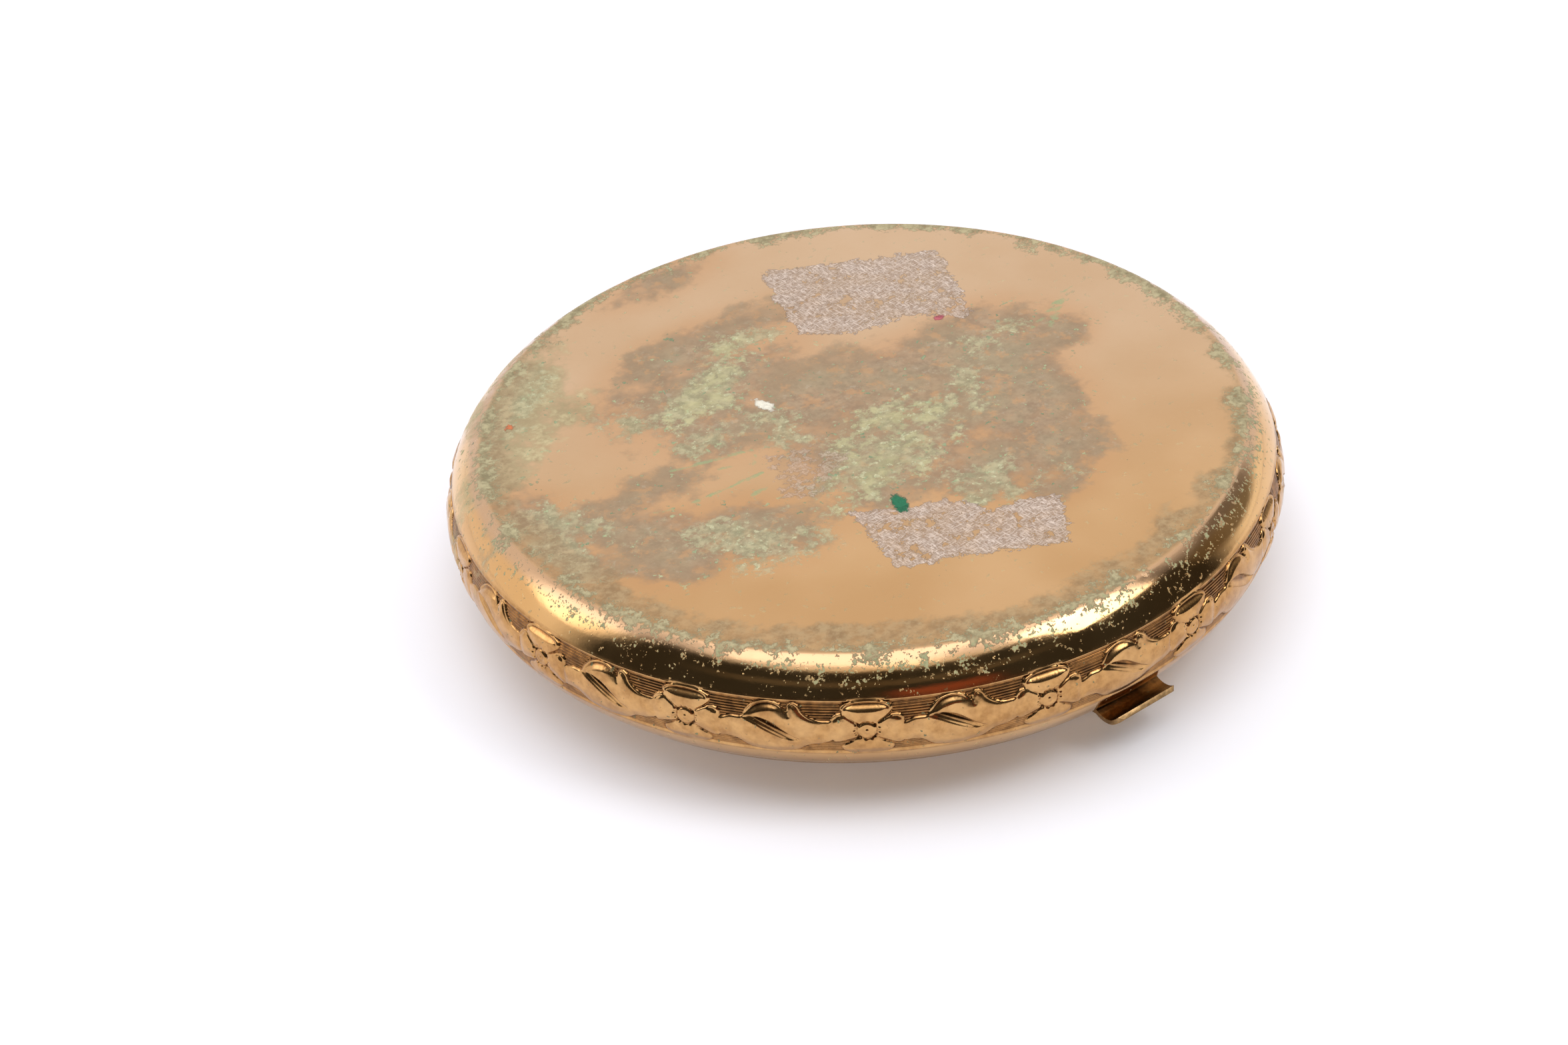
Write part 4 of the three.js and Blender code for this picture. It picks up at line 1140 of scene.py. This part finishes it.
    # Gloss
    matt = s.most(paper, chips)
    metal = s.math("SUBTRACT", s.value(wall, 0.88, 1.0), s.most(matt, s.times(crust, 0.8)))
    metal = s.times(s.most(metal, 0.0), s.value(s.most(brown, olive), 1.0, 0.62))
    rough = s.value(band, s.value(wall, 0.42, s.value(rim, 0.1, 0.18)), 0.2)
    rough = s.plus(rough, s.times(s.math("SUBTRACT", medium, 0.5), s.value(wall, 0.06, 0.05)))
    rough = s.value(s.most(brown, olive, film), rough, 0.5)
    rough = s.value(crust, rough, 0.7)
    rough = s.value(matt, rough, 0.95)
    raised = s.plus(s.times(paper, s.plus(0.6, fibre)), s.times(crust, fine))
    raised = s.plus(raised, s.times(chips, 1.5))
    normal = s.bump(raised, 0.09, 0.8)
    waves = s.times(s.noise(1.1, 3, 0.55, stretch=(1, 1, 2.5), seed=2), wall)
    normal = s.bump(waves, 0.01, 0.6, normal)
    hair = s.noise(0.5, 3, 0.7, stretch=(0.12, 1, 1), seed=9)
    normal = s.bump(hair, 0.002, 0.5, normal)
    s.finish([piece], Base_Color=colour, Metallic=metal, Roughness=rough, Normal=normal)


def gilt(pieces):
    """Gilt brass as it is where it was never handled: bright, with fine turning marks and faint spots."""
    s = Shader("gilt")
    cloud = s.grit(9, 3)
    spots = s.smooth(s.noise(0.8, 5, 0.65, seed=4), 0.62, 0.7)
    colour = s.tones(cloud, (222, 178, 118), (232, 192, 134))
    colour = s.tint(colour, spots, 0.45, (140, 104, 62))
    lines = s.noise(0.12, 2, 0.5, stretch=(1, 1, 0.1), seed=6)
    rough = s.value(spots, s.value(cloud, 0.2, 0.27), 0.45)
    s.finish(pieces, Base_Color=colour, Metallic=1.0, Roughness=rough, Normal=s.bump(lines, 0.002, 0.5))


def aged_brass(pieces):
    """Bare brass that has gone brown, lighter where it is rubbed."""
    s = Shader("aged_brass")
    cloud = s.grit(1.6, 5)
    fine = s.grit(0.35, 5, seed=2)
    rubbed = s.noise(3, 2, 0.5, seed=8)
    colour = s.tones(cloud, (128, 100, 66), (176, 142, 98))
    colour = s.tint(colour, fine, 0.4, (92, 76, 54))
    green = s.smooth(s.noise(0.9, 4, 0.65, seed=12), 0.66, 0.72)
    colour = s.tint(colour, green, 0.7, (126, 140, 104))
    rough = s.value(s.smooth(rubbed, 0.4, 0.6), 0.3, 0.42)
    rough = s.value(green, rough, 0.75)
    s.finish(pieces, Base_Color=colour, Metallic=s.value(green, 1.0, 0.3), Roughness=rough,
                    Normal=s.bump(fine, 0.012, 0.5))


def pin_steel(pieces):
    s = Shader("pin_steel")
    drawn = s.noise(0.1, 3, 0.6, stretch=(0.05, 1, 1))
    dull = s.grit(0.8, 4, seed=3)
    colour = s.tones(dull, (172, 172, 168), (142, 138, 130))
    s.finish(pieces, Base_Color=colour, Metallic=1.0, Roughness=s.value(dull, 0.25, 0.42),
                    Normal=s.bump(drawn, 0.004, 0.6))


def red_enamel(pieces):
    """Fired enamel over brass: deep red, glossy, with a slight orange-peel surface and fine wear."""
    s = Shader("red_enamel")
    cloud = s.grit(7, 3)
    peel = s.noise(0.9, 2, 0.5, seed=5)
    scuffs = s.smooth(s.noise(0.5, 5, 0.7, stretch=(0.15, 1, 1), seed=7), 0.6, 0.72)
    colour = s.tones(cloud, (122, 18, 24), (104, 12, 20))
    colour = s.tint(colour, scuffs, 0.3, (150, 60, 56))
    s.finish(pieces, Base_Color=colour, Roughness=s.value(scuffs, 0.2, 0.4),
             Normal=s.bump(peel, 0.012, 0.5), Coat_Weight=0.6, Coat_Roughness=0.06)


def silvered_glass(pieces):
    """An old mirror: clean in the middle, with a few dark spots in its silver."""
    s = Shader("silvered_glass")
    spots = s.smooth(s.noise(1.3, 5, 0.62, seed=3), 0.68, 0.74)
    haze = s.grit(8, 3, seed=1)
    colour = s.tones(haze, (226, 230, 232), (216, 221, 224))
    colour = s.tint(colour, spots, 0.6, (96, 92, 86))
    rough = s.value(spots, s.value(haze, 0.02, 0.045), 0.4)
    s.finish(pieces, Base_Color=colour, Metallic=1.0, Roughness=rough)


def grey_board(pieces):
    s = Shader("grey_board")
    fibre = s.grit(0.3, 5, stretch=(0.4, 1, 1))
    colour = s.tones(fibre, (148, 138, 120), (172, 162, 144))
    s.finish(pieces, Base_Color=colour, Roughness=0.92, Normal=s.bump(fibre, 0.04, 0.7))


def loose_powder(pieces):
    s = Shader("loose_powder")
    lumps = s.grit(0.6, 6)
    drift = s.grit(5, 3, seed=2)
    colour = s.tones(drift, (228, 196, 172), (216, 180, 154))
    colour = s.tint(colour, lumps, 0.3, (238, 212, 190))
    s.finish(pieces, Base_Color=colour, Roughness=0.97, Normal=s.bump(lumps, 0.08, 0.7),
             Specular_IOR_Level=0.15)


def weave(s, pitch_mm):
    """Height of a plain weave in the X-Y plane, 0 to 1, and where its holes are."""
    scale = [math.pi / (pitch_mm * M_PER_MM)] * 3
    spin = s.node("ShaderNodeMapping", {"Vector": s.place, "Scale": scale})
    parts = s.node("ShaderNodeSeparateXYZ", {0: spin.outputs[0]})
    warp = s.math("ABSOLUTE", s.math("SINE", parts.outputs["X"]))
    weft = s.math("ABSOLUTE", s.math("SINE", parts.outputs["Y"]))
    return s.most(warp, weft), s.math("MINIMUM", s.inverse(warp), s.inverse(weft))


def silk_gauze(pieces):
    s = Shader("silk_gauze")
    height, holes = weave(s, 0.32)
    dust = s.grit(3, 4)
    colour = s.tones(dust, (232, 218, 196), (226, 202, 180))
    # Painted shade: the gaps between the threads are coloured darker, as the gauze is not cut through
    colour = s.colour(s.smooth(holes, 0.25, 0.6), colour, srgb(176, 144, 120))
    s.finish(pieces, Base_Color=colour, Roughness=0.8, Normal=s.bump(height, 0.06, 0.8),
             Sheen_Weight=0.3)


def cotton_velour(pieces):
    """Short pile that lies in patches, with a little powder in it."""
    s = Shader("cotton_velour")
    pile = s.grit(0.28, 5)
    lay = s.grit(4, 4, seed=3)
    dust = s.grit(7, 3, seed=9)
    colour = s.tones(lay, (236, 210, 198), (222, 188, 174))
    colour = s.tint(colour, pile, 0.4, (246, 228, 218))
    colour = s.tint(colour, dust, 0.25, (222, 184, 156))
    s.finish(pieces, Base_Color=colour, Roughness=0.98, Normal=s.bump(pile, 0.16, 0.8),
             Sheen_Weight=0.8, Sheen_Roughness=0.4, Sheen_Tint=(1.0, 0.92, 0.88, 1))


def satin(pieces):
    """Satin ribbon: fine ribs across it, and a soft shine along it."""
    s = Shader("satin")
    ribs = s.noise(0.09, 2, 0.5, stretch=(1, 0.04, 1))
    cloud = s.grit(3, 3, seed=4)
    colour = s.tones(cloud, (214, 158, 150), (202, 142, 136))
    s.finish(pieces, Base_Color=colour, Roughness=s.value(cloud, 0.34, 0.42),
             Normal=s.bump(ribs, 0.01, 0.6), Anisotropic=0.6, Sheen_Weight=0.3)


# ---------------------------------------------------------------- room


VIEW = {"azimuth": -38.27, "elevation": 34.37, "distance": 393.1, "lens": 98.98}
CAMERA_TURNS = {"roll": 3.81, "yaw": -1.10, "pitch": 0.55}  # degrees, from looking straight at the waist


def camera():
    azimuth, elevation = math.radians(VIEW["azimuth"]), math.radians(VIEW["elevation"])
    towards = Vector((math.sin(azimuth) * math.cos(elevation), -math.cos(azimuth) * math.cos(elevation),
                      math.sin(elevation)))
    right = (-towards).cross(Vector((0, 0, 1))).normalized()
    up = right.cross(-towards)
    turns = [Matrix.Rotation(math.radians(CAMERA_TURNS[k]), 3, axis)
             for k, axis in (("roll", "Z"), ("yaw", "Y"), ("pitch", "X"))]
    to_camera = turns[0] @ turns[1] @ turns[2] @ Matrix((right, up, towards))
    data = bpy.data.cameras.new("camera")
    data.lens = VIEW["lens"]
    data.sensor_width = 36
    data.clip_start, data.clip_end = 0.01, 20
    made = bpy.data.objects.new("camera", data)
    bpy.context.scene.collection.objects.link(made)
    centre = Vector((0, 0, WAIST_Z * M_PER_MM))
    made.matrix_world = Matrix.Translation(centre + towards * VIEW["distance"] * M_PER_MM) @ (
        to_camera.transposed().to_4x4()
    )
    bpy.context.scene.camera = made


def floor():
    bpy.ops.mesh.primitive_plane_add(size=6)
    made = bpy.context.object
    made.name = "floor"
    s = Shader("floor_paper")
    mottle = s.noise(60, 3, 0.5)
    s.finish([made], Base_Color=s.tones(mottle, (241, 241, 246), (236, 237, 243)), Roughness=0.75,
             Emission_Color=(0.98, 0.98, 1.0, 1), Emission_Strength=0.07)


ROOM_LEVEL = 1.15
DARK_TURN = 11  # degrees from the camera to the middle of the room's dark side
DARK_SIDES = (-0.22, 0.08)  # cosines between which the dark side starts
DARK_TOP = (0.84, 0.78)  # heights between which it ends
WINDOW = (-0.614, 0.549, 0.565)  # direction of a brighter patch, which the left of the edge reflects
WINDOW_EDGE = (0.955, 0.985)  # cosines between which it starts
SHADE = (0.906, -0.2, 0.371)  # direction of a darker patch, which the right of the edge reflects
SHADE_EDGE = (0.94, 0.98)
# The dark side's red patch and pale shelf: heights, and how far sideways and ahead of the camera's line
RED_MIDDLE, RED_SIDES, RED_TOP, RED_FOOT, RED_AHEAD = 0.28, (0.3, 0.12), (0.46, 0.36), (0.1, 0.2), (0.5, 0.7)
SHELF_SIDES, SHELF_FOOT, SHELF_HEAD = (0.9, 0.5), (0.5, 0.56), (0.66, 0.6)
LIGHT_WALL, BRIGHT_WALL, DARK_WALL = (1.0, 1.0, 1.03, 1), (2.4, 2.4, 2.5, 1), (0.035, 0.034, 0.03, 1)
RED_WALL, SHELF_WALL, SHADE_WALL = (0.24, 0.075, 0.045, 1), (0.22, 0.19, 0.15, 1), (0.12, 0.1, 0.07, 1)
# Place in metres, size, power, and whether the metal mirrors it
LIGHTS = {"key": ((-0.16, -0.1, 1.2), 0.9, 4, True), "side": ((0.42, -0.58, 0.86), 0.45, 3, True),
          "fill": ((-0.42, -0.56, 0.24), 0.5, 1.6, False)}


def room():
    """A bright room, with a dark side behind the camera that the polished edge reflects."""
    world = bpy.data.worlds.new("studio")
    bpy.context.scene.world = world
    world.use_nodes = True
    tree = world.node_tree
    s = Nodes(tree, "Generated")
    background = tree.nodes["Background"]
    azimuth = math.radians(VIEW["azimuth"])

    def along(vector):
        dot = s.node("ShaderNodeVectorMath", {0: s.place, 1: vector}, operation="DOT_PRODUCT")
        return dot.outputs["Value"]

    height = along((0, 0, 1))
    level = s.math("SQRT", s.most(s.inverse(s.times(height, height)), 0.0001))
    centre = azimuth + math.radians(DARK_TURN)
    facing = s.math("DIVIDE", along((math.sin(centre), -math.cos(centre), 0)), level)
    ahead = s.math("DIVIDE", along((math.sin(azimuth), -math.cos(azimuth), 0)), level)
    sideways = s.math("DIVIDE", along((math.cos(azimuth), math.sin(azimuth), 0)), level)
    dark = s.times(s.smooth(facing, *DARK_SIDES), s.smooth(height, *DARK_TOP))
    red = s.smooth(s.math("ABSOLUTE", s.math("SUBTRACT", sideways, RED_MIDDLE)), *RED_SIDES)
    for part in (s.smooth(height, *RED_TOP), s.smooth(height, *RED_FOOT), s.smooth(ahead, *RED_AHEAD)):
        red = s.times(red, part)
    shelf = s.times(s.smooth(height, *SHELF_FOOT), s.smooth(height, *SHELF_HEAD))
    shelf = s.times(shelf, s.smooth(s.math("ABSOLUTE", sideways), *SHELF_SIDES))
    gloom = s.colour(s.times(shelf, 0.35), s.colour(red, DARK_WALL, RED_WALL), SHELF_WALL)
    wall = s.colour(s.smooth(along(WINDOW), *WINDOW_EDGE), LIGHT_WALL, BRIGHT_WALL)
    shade = s.times(s.smooth(along(SHADE), *SHADE_EDGE), 0.9)
    colour = s.colour(shade, s.colour(dark, wall, gloom), SHADE_WALL)
    s.feed(background.inputs["Color"], colour)
    background.inputs["Strength"].default_value = ROOM_LEVEL
    scene = bpy.context.scene
    scene.view_settings.view_transform = "Standard"


def softbox(name, place, size, power, mirrored):
    data = bpy.data.lights.new(name, "AREA")
    data.size = size
    data.energy = power
    made = bpy.data.objects.new(name, data)
    bpy.context.scene.collection.objects.link(made)
    made.location = place
    aim = Vector((0, 0, 0.008)) - Vector(place)
    made.rotation_euler = aim.to_track_quat("-Z", "Y").to_euler()
    made.visible_glossy = mirrored


# ---------------------------------------------------------------- assembly


camera()
floor()
room()
for light, settings in LIGHTS.items():
    softbox(light, *settings)
tarnished_brass(base_shell())
gilt([lid_shell(), mirror_ring(), powder_tray(), powder_door()])
aged_brass([thumb_catch(), lid_hinge_leaf(), base_hinge_leaf(), door_hinge_bracket()])
leaf, foot, rivets = catch_spring()
aged_brass([leaf, foot])
gilt(rivets)
pin_steel(hinge_pins())
red_enamel([lid_panel()])
silvered_glass([mirror()])
grey_board([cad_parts["mirror_backing"]])
loose_powder([face_powder()])
sifter_rim, sifter_skin = sifter()
gilt([sifter_rim])
silk_gauze([sifter_skin])
cotton_velour([puff()])
satin([puff_ribbon()])
